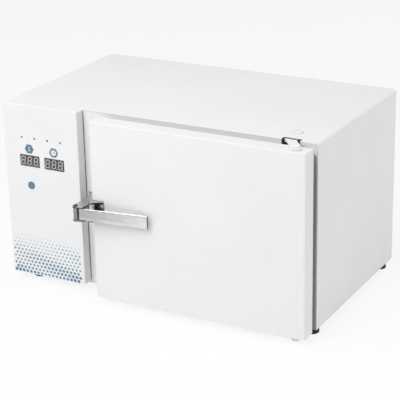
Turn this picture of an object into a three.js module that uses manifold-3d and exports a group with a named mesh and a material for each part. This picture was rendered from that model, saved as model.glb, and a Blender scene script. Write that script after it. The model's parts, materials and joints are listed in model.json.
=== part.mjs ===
// Dry heat sterilizer: a sheet steel cabinet with a raised control panel, a heated
// stainless chamber in mineral wool, and a side-hung door with a lever latch.
// Millimetres. X runs from the cabinet's left side to its right side, Y from its
// front plane to its back, and Z up from its underside. The group at the end moves
// all of it to an origin on the bench, under the middle of the whole object.

import * as THREE from "three";
import { mergeVertices } from "three/addons/utils/BufferGeometryUtils.js";
import Module from "manifold-3d";

const wasm = await Module();
wasm.setup();

// Cabinet
const CABINET_WIDTH = 540;
const CABINET_HEIGHT = 294;
const CABINET_DEPTH = 306;
const SHEET = 1.5;
const SHELL_RADIUS = 4;

// Fits: the gap at a seat, the clearance round what turns, and how far a cut runs past a face
const SEAT = 0.3;
const RUNNING = 0.3;
const OVERRUN = 5;

// Steps round a circle: large and small rounds, and the bend of a tube
const ROUND_STEPS = 20;
const SMALL_STEPS = 12;
const TUBE_SIDES = 6;
const TUBE_STEPS = 60;
const LOOM_STEPS = 16;
const CORNER_STEPS = 2;
const MERGE_TOLERANCE = 1e-4;

// Control panel, a pan on the left of the front
const PANEL_WIDTH = 140;
const PANEL_DEPTH = 19;
const PANEL_BOTTOM = 3;
const PANEL_CORNER = 2;

// What the panel carries, as heights from the cabinet's underside
const LAMPS_ABOVE_DISPLAY = 38.5;
const LAMP_PITCH = 24.5;
const LAMP_COUNT = 4;
const LAMP_RADIUS = 1.5;
const DISPLAY_ABOVE_BUTTON = 41.5;
const DISPLAY_PITCH = 46.6;
const DISPLAY_WIDTH = 37;
const DISPLAY_FACE = 19;
const DISPLAY_THICKNESS = 8;
const DISPLAY_RECESS = 0.4;
const BUTTON_HEIGHT = 160;
const BUTTON_RADIUS = 6.2;
const BUTTON_PROUD = 1.2;
const BUTTON_DOME = 0.5;
const BUTTON_FLANGE = 1.8;
const BUTTON_FLANGE_THICKNESS = 1.5;
const BUTTON_TRAVEL = 1.5;
const SWITCH_SIDE = 6;
const SWITCH_THICKNESS = 1.6;
const BOARD_THICKNESS = 1.6;
const BOARD_MARGIN = 21;
const BOARD_ABOVE_LAMPS = 10;
const BOARD_BELOW_BUTTON = 15;
const SPACER_RADIUS = 3;
const SPACER_INSET = 6;
const CHIP_HEIGHT = 4;

// Door, hung on its right edge
const DOOR_LEFT = 178;
const DOOR_BOTTOM = 0.5;
const DOOR_TOP_GAP = 0.5;
const DOOR_GAP = 15;
const DOOR_THICKNESS = 28;
const DOOR_CORNER = 2;
const DOOR_PAN_SHEET = 1.2;
const DOOR_LAND_HEIGHT = 9;
const DOOR_LAND_MARGIN = 4;
const DOOR_PLUG_DEPTH = 5;
const DOOR_PLUG_CLEARANCE = 6;
const GASKET_WIDTH = 10;
const GASKET_OFFSET = 3;
const GASKET_CORNER = 12;

// Hinges
const HINGE_FROM_SIDE = 21;
const HINGE_FROM_FRONT = 15;
const HINGE_PIN_RADIUS = 4;
const HINGE_PIN_LENGTH = 22;
const HINGE_HEAD_RADIUS = 5.5;
const HINGE_HEAD_HEIGHT = 2.5;
const HINGE_CAP_NUT_RADIUS = 6.5;
const HINGE_CAP_NUT_HEIGHT = 5.5;
const HINGE_CAP_NUT_DOME = 1.2;
const HINGE_BOSS_RADIUS = 9;
const HINGE_ARM_THICKNESS = 2.7;
const HINGE_ARM_WIDTH = 19;
const HINGE_ARM_OFFSET = 13;
const HINGE_ARM_REACH = 60;
const HINGE_STEP_DEPTH = 3;
const HINGE_NOTCH_MARGIN = 4.5;
const BUSH_RADIUS = 6.5;
const BUSH_LENGTH = 25;
const CAP_RADIUS = 8.2;
const CAP_HEIGHT = 3.2;
const CAP_FROM_ARM_EDGE = 4.6;
const CAP_FROM_FRONT = 37;
const CAP_SCREW_RADIUS = 2.5;
const CAP_SLOPE = THREE.MathUtils.degToRad(30);

// Latch: places are taken from the door's front left corner
const LATCH_HEIGHT = 147;
const LATCH_PIVOT_IN = 5;
const LATCH_PIVOT_OUT = 10;
const LATCH_PIN_RADIUS = 2.5;
const LATCH_HUB_RADIUS = 5;
const LATCH_BRACKET_ABOVE = 18;
const LATCH_BRACKET_BELOW = 13;
const LATCH_BRACKET_WIDTH = 21.5;
const LATCH_SHEET = 2;
const LATCH_RIVET_RADIUS = 4;
const LATCH_RIVET_HEIGHT = 1.5;
const BAR_THICKNESS = 4;
const BAR_START_LEFT = 11;
const BAR_START_OUT = 22.8;
const BAR_LENGTH = 115;
const BAR_ANGLE = THREE.MathUtils.degToRad(6.5);
const BAR_HEIGHT_LEFT = 18.6;
const BAR_HEIGHT_RIGHT = 21.4;
const HOOK_HEIGHT = 18;
const HOOK_LENGTH = 9;
const HOOK_THICKNESS = 3.9;
const HOOK_BACK = 12.3;
const KEEPER_GAP = 20;
const KEEPER_NEAR = 2;
const KEEPER_WALL_OUT = 6;
const KEEPER_FOOT_WIDTH = 28;
const KEEPER_SCREW_INSET = 6;
const ROLLER_RADIUS = 3.9;
const ROLLER_LEFT = 18;
const ROLLER_OUT = 20.5;
const ROLLER_PIN_RADIUS = 2;
const ROLLER_CLEARANCE = 0.3;
const KEEPER_NOSE_RADIUS = 5;
const PIN_HEAD_RADIUS = 3.2;
const PIN_HEAD_HEIGHT = 1.2;
const SCREW_RADIUS = 1.6;
const SCREW_HEAD_RADIUS = 3;
const SCREW_HEAD_HEIGHT = 1.6;
const SCREW_LENGTH = 5;

// Chamber and what stands in it
const CHAMBER_FROM_DOOR = 32;
const CHAMBER_FROM_SIDE = 40;
const CHAMBER_MARGIN = 35;
const CHAMBER_FROM_BACK = 64.2;
const CHAMBER_SHEET = 1;
const CHAMBER_CORNER = 8;
const CHAMBER_FLANGE = 9;
const INSULATION_BEHIND = 30;
const BULKHEAD_GAP = 25;
const FLOOR_HEIGHT = 18;
const HEATER_RADIUS = 3.5;
const HEATER_HEIGHT = 9;
const HEATER_FROM_BACK = 53.8;
const HEATER_LEGS = 4;
const HEATER_FRONT = 38;
const HEATER_END_GAP = 15;
const HEATER_TAIL = 12;
const HEATER_BEND_STEPS = 6;
const RAIL_BOTTOM = 40;
const RAIL_HEIGHT = 160;
const RAIL_LEDGE = 10;
const RAIL_INSET = 12;
const LOWER_SHELF_HEIGHT = 70;
const UPPER_SHELF_HEIGHT = 140;
const SHELF_SHEET = 1;
const SHELF_LIP = 6;
const SHELF_SLIDE_GAP = 0.5;
const SHELF_FRONT_GAP = 8;
const PROBE_RADIUS = 2.5;
const PROBE_REACH = 28;
const PROBE_NUT_RADIUS = 6;
const PROBE_NUT_LENGTH = 4;
const PROBE_FROM_BACK = 41.8;
const PROBE_BELOW_TOP = 13;
const CUTOUT_RADIUS = 10;
const CUTOUT_LENGTH = 18;
const CUTOUT_BEFORE_PROBE = 50;
const CUTOUT_HEIGHT = 160;

// Slots: in shelves, chamber floor, base plate and rear cover
const SHELF_SLOT_LENGTH = 34;
const SHELF_SLOT_WIDTH = 6;
const SHELF_SLOT_COLUMNS = 5;
const SHELF_SLOT_ROWS = 6;
const VENT_LENGTH = 44;
const VENT_WIDTH = 3.5;
const VENT_PITCH = 9;
const VENT_COUNT = 7;

// Feet
const FOOT_RADIUS = 11.5;
const FOOT_HEIGHT = 10;
const FOOT_TAPER = 0.8;
const FOOT_RECESS_RADIUS = 5;
const FOOT_RECESS_DEPTH = 5.5;
const FOOT_SCREW_RADIUS = 2;
const FOOT_SCREW_HEAD = 4;
const FOOT_SCREW_HEAD_HEIGHT = 2;
const FOOT_LEFT = 33;
const FOOT_RIGHT = 13;
const FOOT_FRONT = 12;
const FOOT_BACK = 23;

// Electrics in the bay and on the rear cover
const POWER_BOARD_MARGIN = 24;
const POWER_BOARD_LENGTH = 150;
const POWER_BOARD_FROM_BACK = 81;
const POWER_BOARD_LIFT = 8;
const TRANSFORMER_WIDTH = 58;
const TRANSFORMER_LENGTH = 48;
const TRANSFORMER_HEIGHT = 44;
const RELAY_WIDTH = 28;
const RELAY_LENGTH = 22;
const RELAY_HEIGHT = 24;
const CAPACITOR_RADIUS = 9;
const CAPACITOR_HEIGHT = 26;
const TERMINALS_WIDTH = 46;
const TERMINALS_LENGTH = 12;
const TERMINALS_HEIGHT = 14;
const LOOM_RADIUS = 4;
const LOOM_STRAIGHT = 8;
const INLET_FROM_SIDE = 60;
const INLET_HEIGHT = 60;
const INLET_WIDTH = 26;
const INLET_TALL = 20;
const INLET_DEPTH = 22;
const INLET_WALL = 2.5;
const INLET_FLANGE_SIDE = 9;
const INLET_FLANGE_TOP = 5;
const INLET_FLANGE_THICKNESS = 3;
const INLET_PIN_WIDTH = 2;
const INLET_PIN_TALL = 4;
const INLET_PIN_PITCH = 6;
const INLET_PIN_BACK = 4;
const SWITCH_FROM_INLET = 50;
const SWITCH_BODY_WIDTH = 14;
const SWITCH_BODY_TALL = 22;
const SWITCH_BODY_DEPTH = 18;
const SWITCH_BEZEL = 2.5;
const SWITCH_BEZEL_THICKNESS = 1.5;
const SWITCH_WALL = 1.5;
const ROCKER_CLEARANCE = 0.5;
const ROCKER_TILT = THREE.MathUtils.degToRad(10);
const ROCKER_THICKNESS = 4;
const ROCKER_SUNK = 0.4;

// Places worked out from the sizes above
const half = (length) => length / 2;
const INNER_LEFT = SHEET + SEAT;
const INNER_RIGHT = CABINET_WIDTH - SHEET - SEAT;
const INNER_BOTTOM = SHEET + SEAT;
const INNER_TOP = CABINET_HEIGHT - SHEET - SEAT;
const DOOR_BACK = -DOOR_GAP;
const DOOR_FRONT = -DOOR_GAP - DOOR_THICKNESS;
const DOOR_RIGHT = CABINET_WIDTH;
const ARM_OUTER_BOTTOM = CABINET_HEIGHT - SHEET;
const DOOR_TOP = ARM_OUTER_BOTTOM - DOOR_TOP_GAP;
const HINGE_X = DOOR_RIGHT - HINGE_FROM_SIDE;
const HINGE_Y = DOOR_FRONT + HINGE_FROM_FRONT;
const CHAMBER_LEFT = DOOR_LEFT + CHAMBER_FROM_DOOR;
const CHAMBER_RIGHT = CABINET_WIDTH - CHAMBER_FROM_SIDE;
const CHAMBER_BOTTOM = CHAMBER_MARGIN;
const CHAMBER_TOP = CABINET_HEIGHT - CHAMBER_MARGIN;
const LINER_FRONT = SHEET + SEAT;
const LINER_BACK = CABINET_DEPTH - CHAMBER_FROM_BACK;
const BULKHEAD_X = PANEL_WIDTH + BULKHEAD_GAP;
const PIVOT_X = DOOR_LEFT + LATCH_PIVOT_IN;
const KEEPER_HEIGHT = KEEPER_GAP + 2 * LATCH_SHEET;
const PIVOT_Y = DOOR_FRONT - LATCH_PIVOT_OUT;
const ROLLER_X = DOOR_LEFT - ROLLER_LEFT;
const ROLLER_Y = DOOR_FRONT - ROLLER_OUT;
const PANEL_FACE = -PANEL_DEPTH;
const BOARD_FACE = PANEL_FACE + DISPLAY_RECESS + DISPLAY_THICKNESS + SEAT;
const BOARD_BACK = BOARD_FACE + BOARD_THICKNESS;
const BUTTON_X = half(PANEL_WIDTH - DISPLAY_PITCH);
const DISPLAY_Z = BUTTON_HEIGHT + DISPLAY_ABOVE_BUTTON;
const LAMP_Z = DISPLAY_Z + LAMPS_ABOVE_DISPLAY;
const HEATER_Z = CHAMBER_BOTTOM + HEATER_HEIGHT;
const HEATER_BACK = LINER_BACK - HEATER_FROM_BACK;
const HEATER_PITCH = (HEATER_BACK - HEATER_FRONT) / (HEATER_LEGS - 1);
const PROBE_Z = CHAMBER_TOP - PROBE_BELOW_TOP;
const PROBE_Y = LINER_BACK - PROBE_FROM_BACK;
const CUTOUT_Y = PROBE_Y - CUTOUT_BEFORE_PROBE;
const HEATER_START = BULKHEAD_X - HEATER_TAIL;
const ARM_LEFT = HINGE_X - HINGE_ARM_OFFSET - HINGE_ARM_WIDTH;
const ARM_RIGHT = HINGE_X - HINGE_ARM_OFFSET;
const CAP_X = ARM_LEFT + CAP_FROM_ARM_EDGE;
const BRACKET_BOTTOM = LATCH_HEIGHT - LATCH_BRACKET_BELOW;
const BRACKET_TOP = LATCH_HEIGHT + LATCH_BRACKET_ABOVE;
const SWITCH_X = INLET_FROM_SIDE + SWITCH_FROM_INLET;
const POWER_BOARD_BACK = CABINET_DEPTH - POWER_BOARD_FROM_BACK;
const POWER_BOARD_FRONT = POWER_BOARD_BACK - POWER_BOARD_LENGTH;

// Paints and metals
const material = (color, roughness, metalness) =>
  new THREE.MeshStandardMaterial({ color, roughness, metalness });
const WHITE_PAINT = material(0xeeeff0, 0.45, 0);
const STAINLESS = material(0xb9bcc0, 0.3, 1);
const ZINC = material(0x9da3a8, 0.4, 1);
const WOOL = material(0xd8cf9a, 1, 0);
const BLACK_RUBBER = material(0x1b1b1d, 0.85, 0);
const SILICONE = material(0x9c3d2e, 0.7, 0);
const BLACK_PLASTIC = material(0x17181a, 0.5, 0);
const DARK_GLASS = material(0x0e0f11, 0.15, 0);
const BLUE_PLASTIC = material(0x2f8fd0, 0.4, 0);
const CREAM_PLASTIC = material(0xf2f0e4, 0.4, 0);
const CIRCUIT_GREEN = material(0x1f6b3a, 0.6, 0);
const CABLE_GREY = material(0x55585c, 0.7, 0);

// Solids: every piece is made of three.js geometry, joined and cut as closed solids
function toSolid(geometry) {
  const bare = new THREE.BufferGeometry();
  bare.setAttribute("position", geometry.getAttribute("position"));
  bare.setIndex(geometry.index);
  const merged = mergeVertices(bare, MERGE_TOLERANCE);
  const corners = merged.index.array;
  const kept = [];
  for (let i = 0; i < corners.length; i += 3) {
    const [a, b, c] = corners.slice(i, i + 3);
    if (a !== b && b !== c && c !== a) kept.push(a, b, c);
  }
  return new wasm.Manifold(
    new wasm.Mesh({
      numProp: 3,
      vertProperties: merged.getAttribute("position").array,
      triVerts: new Uint32Array(kept),
    }),
  );
}

function toGeometry(solid) {
  const mesh = solid.getMesh();
  const geometry = new THREE.BufferGeometry();
  geometry.setAttribute("position", new THREE.BufferAttribute(mesh.vertProperties, 3));
  geometry.setIndex(new THREE.BufferAttribute(mesh.triVerts, 1));
  geometry.computeVertexNormals();
  return geometry;
}

function join(first, ...others) {
  return others.reduce((sum, other) => sum.add(other), first);
}

function cut(body, ...tools) {
  return tools.reduce((left, tool) => left.subtract(tool), body);
}

function block(x0, x1, y0, y1, z0, z1) {
  const geometry = new THREE.BoxGeometry(x1 - x0, y1 - y0, z1 - z0);
  geometry.translate((x0 + x1) / 2, (y0 + y1) / 2, (z0 + z1) / 2);
  return toSolid(geometry);
}

// An outline in (x, y) raised from z0 to z1
function raise(shape, z0, z1) {
  const options = { depth: z1 - z0, bevelEnabled: false, curveSegments: CORNER_STEPS };
  const geometry = new THREE.ExtrudeGeometry(shape, options);
  geometry.translate(0, 0, z0);
  return toSolid(geometry);
}

// An outline in (x, z) run from y0 to y1
function runBack(shape, y0, y1) {
  const options = { depth: y1 - y0, bevelEnabled: false, curveSegments: CORNER_STEPS };
  const geometry = new THREE.ExtrudeGeometry(shape, options);
  geometry.rotateX(Math.PI / 2);
  geometry.translate(0, y1, 0);
  return toSolid(geometry);
}

function polygon(points) {
  return new THREE.Shape(points.map(([a, b]) => new THREE.Vector2(a, b)));
}

function roundedRectangle(a0, b0, a1, b1, radius) {
  const quarter = Math.PI / 2;
  const shape = new THREE.Shape();
  shape.moveTo(a0 + radius, b0);
  shape.absarc(a1 - radius, b0 + radius, radius, -quarter, 0, false);
  shape.absarc(a1 - radius, b1 - radius, radius, 0, quarter, false);
  shape.absarc(a0 + radius, b1 - radius, radius, quarter, 2 * quarter, false);
  shape.absarc(a0 + radius, b0 + radius, radius, 2 * quarter, 3 * quarter, false);
  shape.closePath();
  return shape;
}

function slot(a, b, length, width) {
  return polygon([
    [a - half(length), b - half(width)],
    [a + half(length), b - half(width)],
    [a + half(length), b + half(width)],
    [a - half(length), b + half(width)],
  ]);
}

// Rods along each axis, through the point given by the other two coordinates
function rodZ(x, y, radius, z0, z1, steps = ROUND_STEPS) {
  const geometry = new THREE.CylinderGeometry(radius, radius, z1 - z0, steps);
  geometry.rotateX(Math.PI / 2);
  geometry.translate(x, y, (z0 + z1) / 2);
  return toSolid(geometry);
}

function rodY(x, z, radius, y0, y1, steps = ROUND_STEPS) {
  const geometry = new THREE.CylinderGeometry(radius, radius, y1 - y0, steps);
  geometry.translate(x, (y0 + y1) / 2, z);
  return toSolid(geometry);
}

function rodX(y, z, radius, x0, x1, steps = ROUND_STEPS) {
  const geometry = new THREE.CylinderGeometry(radius, radius, x1 - x0, steps);
  geometry.rotateZ(Math.PI / 2);
  geometry.translate((x0 + x1) / 2, y, z);
  return toSolid(geometry);
}

// A profile of [radius, height] points turned about the vertical through (x, y)
function turned(profile, x, y, steps = ROUND_STEPS) {
  const points = profile.map(([radius, height]) => new THREE.Vector2(radius, height));
  const geometry = new THREE.LatheGeometry(points, steps);
  geometry.rotateX(Math.PI / 2);
  geometry.translate(x, y, 0);
  return toSolid(geometry);
}

// A tube along a row of points
function tube(points, radius, steps) {
  const path = new THREE.CurvePath();
  for (let i = 1; i < points.length; i += 1) {
    path.add(new THREE.LineCurve3(points[i - 1], points[i]));
  }
  const section = new THREE.Shape();
  section.absarc(0, 0, radius, 0, 2 * Math.PI, false);
  const options = {
    steps,
    extrudePath: path,
    bevelEnabled: false,
    curveSegments: half(TUBE_SIDES),
  };
  return toSolid(new THREE.ExtrudeGeometry(section, options));
}

const part = new THREE.Group();
const cabinet = new THREE.Group();
const door = new THREE.Group();
const latch = new THREE.Group();
part.add(cabinet, door, latch);

function place(group, name, solid, finish) {
  const mesh = new THREE.Mesh(toGeometry(solid), finish);
  mesh.name = name;
  group.add(mesh);
}

// Holes that pass through several pieces of the cabinet
const heaterTails = [0, HEATER_LEGS - 1].map((leg) => HEATER_FRONT + leg * HEATER_PITCH);
const acrossHoles = [
  ...heaterTails.map((y) => ({ y, z: HEATER_Z, radius: HEATER_RADIUS })),
  { y: PROBE_Y, z: PROBE_Z, radius: PROBE_RADIUS },
];
const acrossTools = acrossHoles.map(({ y, z, radius }) =>
  rodX(y, z, radius + SEAT, HEATER_START, CHAMBER_LEFT + OVERRUN, SMALL_STEPS),
);
const cutoutTool = rodX(
  CUTOUT_Y,
  CUTOUT_HEIGHT,
  CUTOUT_RADIUS + SEAT,
  HEATER_START,
  CHAMBER_LEFT - CHAMBER_SHEET,
);

function addHousingShell() {
  const outline = new THREE.Shape();
  const quarter = Math.PI / 2;
  const inner = SHELL_RADIUS - SHEET;
  const right = CABINET_WIDTH;
  const top = CABINET_HEIGHT;
  outline.moveTo(0, 0);
  outline.lineTo(SHEET, 0);
  outline.absarc(SHELL_RADIUS, top - SHELL_RADIUS, inner, 2 * quarter, quarter, true);
  outline.absarc(right - SHELL_RADIUS, top - SHELL_RADIUS, inner, quarter, 0, true);
  outline.lineTo(right - SHEET, 0);
  outline.lineTo(right, 0);
  outline.absarc(right - SHELL_RADIUS, top - SHELL_RADIUS, SHELL_RADIUS, 0, quarter, false);
  outline.absarc(SHELL_RADIUS, top - SHELL_RADIUS, SHELL_RADIUS, quarter, 2 * quarter, false);
  outline.closePath();
  const notch = block(
    ARM_LEFT - HINGE_NOTCH_MARGIN,
    ARM_RIGHT + HINGE_NOTCH_MARGIN,
    -OVERRUN,
    SEAT + HINGE_STEP_DEPTH + HINGE_NOTCH_MARGIN,
    CABINET_HEIGHT - SHEET - OVERRUN,
    CABINET_HEIGHT + OVERRUN,
  );
  const screwHole = rodZ(
    CAP_X,
    CAP_FROM_FRONT,
    CAP_SCREW_RADIUS + SEAT,
    CABINET_HEIGHT - SHEET - OVERRUN,
    CABINET_HEIGHT + OVERRUN,
    SMALL_STEPS,
  );
  const shell = cut(runBack(outline, 0, CABINET_DEPTH), notch, screwHole);
  place(cabinet, "housing_shell", shell, WHITE_PAINT);
}

const footPlaces = {
  front_left: [FOOT_LEFT, FOOT_FRONT],
  front_right: [CABINET_WIDTH - FOOT_RIGHT, FOOT_FRONT],
  rear_left: [FOOT_LEFT, CABINET_DEPTH - FOOT_BACK],
  rear_right: [CABINET_WIDTH - FOOT_RIGHT, CABINET_DEPTH - FOOT_BACK],
};

// A column of vent slots, as outlines
function ventColumn(a, firstB) {
  const vents = [];
  for (let i = 0; i < VENT_COUNT; i += 1) {
    vents.push(slot(a, firstB + i * VENT_PITCH, VENT_LENGTH, VENT_WIDTH));
  }
  return vents;
}

function addBasePlate() {
  const outline = slot(
    half(CABINET_WIDTH),
    half(CABINET_DEPTH),
    INNER_RIGHT - INNER_LEFT,
    CABINET_DEPTH,
  );
  const middle = half(CABINET_DEPTH) - half(VENT_COUNT * VENT_PITCH);
  const vents = ventColumn(half(PANEL_WIDTH), middle).map((vent) =>
    raise(vent, -OVERRUN, SHEET + OVERRUN),
  );
  const plate = cut(raise(outline, 0, SHEET), ...vents);
  const screwHoles = Object.values(footPlaces).map(([x, y]) =>
    rodZ(x, y, FOOT_SCREW_RADIUS + SEAT, -OVERRUN, OVERRUN, SMALL_STEPS),
  );
  place(cabinet, "base_plate", cut(plate, ...screwHoles), WHITE_PAINT);
}

// The space inside the shell, as an outline in (x, z) from x = left
function insideOutline(left) {
  const radius = SHELL_RADIUS - SHEET;
  return roundedRectangle(left, INNER_BOTTOM, INNER_RIGHT, INNER_TOP, radius);
}

function chamberOutline(grow) {
  return roundedRectangle(
    CHAMBER_LEFT - grow,
    CHAMBER_BOTTOM - grow,
    CHAMBER_RIGHT + grow,
    CHAMBER_TOP + grow,
    CHAMBER_CORNER + grow,
  );
}

const keeperScrewHeights = [-1, 1].map(
  (side) => LATCH_HEIGHT + side * (half(KEEPER_HEIGHT) - KEEPER_SCREW_INSET),
);
const KEEPER_FOOT_LEFT = half(PANEL_WIDTH + DOOR_LEFT) - half(KEEPER_FOOT_WIDTH);
const KEEPER_SCREW_X = KEEPER_FOOT_LEFT + half(KEEPER_FOOT_WIDTH);

function addFrontFrame() {
  const outline = insideOutline(INNER_LEFT);
  const cableWindow = polygon([
    [BOARD_MARGIN, BUTTON_HEIGHT - BOARD_BELOW_BUTTON],
    [PANEL_WIDTH - BOARD_MARGIN, BUTTON_HEIGHT - BOARD_BELOW_BUTTON],
    [PANEL_WIDTH - BOARD_MARGIN, LAMP_Z],
    [BOARD_MARGIN, LAMP_Z],
  ]);
  outline.holes.push(chamberOutline(0), cableWindow);
  const armNotch = block(
    ARM_LEFT - HINGE_NOTCH_MARGIN,
    ARM_RIGHT + HINGE_NOTCH_MARGIN,
    -OVERRUN,
    SHEET + OVERRUN,
    INNER_TOP - HINGE_ARM_THICKNESS - HINGE_NOTCH_MARGIN,
    INNER_TOP + OVERRUN,
  );
  const screwHoles = keeperScrewHeights.map((z) =>
    rodY(KEEPER_SCREW_X, z, SCREW_RADIUS + SEAT, -OVERRUN, OVERRUN, SMALL_STEPS),
  );
  const frame = cut(runBack(outline, 0, SHEET), armNotch, ...screwHoles);
  place(cabinet, "front_frame", frame, WHITE_PAINT);
}

function addRearCover() {
  const outline = insideOutline(INNER_LEFT);
  const ventBottom = CABINET_HEIGHT - CHAMBER_MARGIN - VENT_COUNT * VENT_PITCH;
  const openings = [
    slot(INLET_FROM_SIDE, INLET_HEIGHT, INLET_WIDTH + 2 * SEAT, INLET_TALL + 2 * SEAT),
    slot(SWITCH_X, INLET_HEIGHT, SWITCH_BODY_WIDTH + 2 * SEAT, SWITCH_BODY_TALL + 2 * SEAT),
    ...ventColumn(INLET_FROM_SIDE + half(SWITCH_FROM_INLET), ventBottom),
    ...ventColumn(CHAMBER_LEFT + VENT_LENGTH, ventBottom),
    ...ventColumn(CHAMBER_RIGHT - VENT_LENGTH, ventBottom),
  ];
  const inside = CABINET_DEPTH - SHEET;
  const tools = openings.map((opening) =>
    runBack(opening, inside - OVERRUN, CABINET_DEPTH + OVERRUN),
  );
  const cover = cut(runBack(outline, inside, CABINET_DEPTH), ...tools);
  place(cabinet, "rear_cover", cover, WHITE_PAINT);
}

function addBulkhead() {
  const wall = block(
    BULKHEAD_X,
    BULKHEAD_X + SHEET,
    SHEET + SEAT,
    CABINET_DEPTH - SHEET - SEAT,
    INNER_BOTTOM,
    INNER_TOP,
  );
  place(cabinet, "bulkhead", cut(wall, ...acrossTools, cutoutTool), ZINC);
}

// Places across the panel, left to right, round its middle line
function spread(count, pitch) {
  const first = half(PANEL_WIDTH) - half(pitch) * (count - 1);
  return Array.from({ length: count }, (_, i) => first + i * pitch);
}

const lampPlaces = spread(LAMP_COUNT, LAMP_PITCH);
const displayPlaces = spread(2, DISPLAY_PITCH);

function addControlPanel() {
  const face = roundedRectangle(0, PANEL_BOTTOM, PANEL_WIDTH, CABINET_HEIGHT, PANEL_CORNER);
  const hollow = polygon([
    [SHEET, PANEL_BOTTOM + SHEET],
    [PANEL_WIDTH - SHEET, PANEL_BOTTOM + SHEET],
    [PANEL_WIDTH - SHEET, CABINET_HEIGHT - SHEET],
    [SHEET, CABINET_HEIGHT - SHEET],
  ]);
  const front = PANEL_FACE - OVERRUN;
  const back = PANEL_FACE + OVERRUN;
  const windows = displayPlaces.map((x) =>
    runBack(
      slot(x, DISPLAY_Z, DISPLAY_WIDTH + 2 * SEAT, DISPLAY_FACE + 2 * SEAT),
      front,
      back,
    ),
  );
  const lampHoles = lampPlaces.map((x) =>
    rodY(x, LAMP_Z, LAMP_RADIUS + SEAT, front, back, SMALL_STEPS),
  );
  const buttonHole = rodY(BUTTON_X, BUTTON_HEIGHT, BUTTON_RADIUS + RUNNING, front, back);
  const pan = cut(
    runBack(face, PANEL_FACE, -SEAT),
    runBack(hollow, PANEL_FACE + SHEET, OVERRUN),
    ...windows,
    ...lampHoles,
    buttonHole,
  );
  place(cabinet, "control_panel", pan, WHITE_PAINT);
}

function addPanelElectronics() {
  const left = BOARD_MARGIN;
  const right = PANEL_WIDTH - BOARD_MARGIN;
  const low = BUTTON_HEIGHT - BOARD_BELOW_BUTTON;
  const high = LAMP_Z + BOARD_ABOVE_LAMPS;
  const spacers = [];
  for (const x of [left + SPACER_INSET, right - SPACER_INSET]) {
    for (const z of [low + SPACER_INSET, high - SPACER_INSET]) {
      const front = PANEL_FACE + SHEET + SEAT;
      spacers.push(rodY(x, z, SPACER_RADIUS, front, BOARD_BACK, SMALL_STEPS));
    }
  }
  const chips = displayPlaces.map((x) =>
    block(
      x - half(DISPLAY_FACE),
      x + half(DISPLAY_FACE),
      BOARD_BACK - half(BOARD_THICKNESS),
      BOARD_BACK + CHIP_HEIGHT,
      DISPLAY_Z - half(DISPLAY_FACE),
      DISPLAY_Z,
    ),
  );
  const board = block(left, right, BOARD_FACE, BOARD_BACK, low, high);
  place(cabinet, "control_board", join(board, ...spacers, ...chips), CIRCUIT_GREEN);

  const displayFront = PANEL_FACE + DISPLAY_RECESS;
  const displayNames = ["temperature_display", "time_display"];
  displayPlaces.forEach((x, i) => {
    const body = block(
      x - half(DISPLAY_WIDTH),
      x + half(DISPLAY_WIDTH),
      displayFront,
      displayFront + DISPLAY_THICKNESS,
      DISPLAY_Z - half(DISPLAY_FACE),
      DISPLAY_Z + half(DISPLAY_FACE),
    );
    place(cabinet, displayNames[i], body, DARK_GLASS);
  });
  lampPlaces.forEach((x, i) => {
    const lens = rodY(x, LAMP_Z, LAMP_RADIUS, displayFront, BOARD_FACE - SEAT, SMALL_STEPS);
    place(cabinet, `indicator_${i + 1}`, lens, DARK_GLASS);
  });
  const switchBody = block(
    BUTTON_X - half(SWITCH_SIDE),
    BUTTON_X + half(SWITCH_SIDE),
    BOARD_FACE - SEAT - SWITCH_THICKNESS,
    BOARD_FACE - SEAT,
    BUTTON_HEIGHT - half(SWITCH_SIDE),
    BUTTON_HEIGHT + half(SWITCH_SIDE),
  );
  place(cabinet, "button_switch", switchBody, BLACK_PLASTIC);
}

function addProgramButton() {
  const front = PANEL_FACE - BUTTON_PROUD;
  const back = BOARD_FACE - SEAT - SWITCH_THICKNESS - SEAT - BUTTON_TRAVEL;
  const flangeFront = PANEL_FACE + SHEET + SEAT;
  const flangeBack = flangeFront + BUTTON_FLANGE_THICKNESS;
  const profile = [
    [0, front],
    [BUTTON_RADIUS - BUTTON_DOME, front],
    [BUTTON_RADIUS, front + BUTTON_DOME],
    [BUTTON_RADIUS, flangeFront],
    [BUTTON_RADIUS + BUTTON_FLANGE, flangeFront],
    [BUTTON_RADIUS + BUTTON_FLANGE, flangeBack],
    [half(BUTTON_RADIUS), flangeBack],
    [half(BUTTON_RADIUS), back],
    [0, back],
  ];
  const points = profile.map(([radius, y]) => new THREE.Vector2(radius, y));
  const geometry = new THREE.LatheGeometry(points, ROUND_STEPS);
  geometry.translate(BUTTON_X, 0, BUTTON_HEIGHT);
  place(cabinet, "program_button", toSolid(geometry), BLUE_PLASTIC);
}

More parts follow.
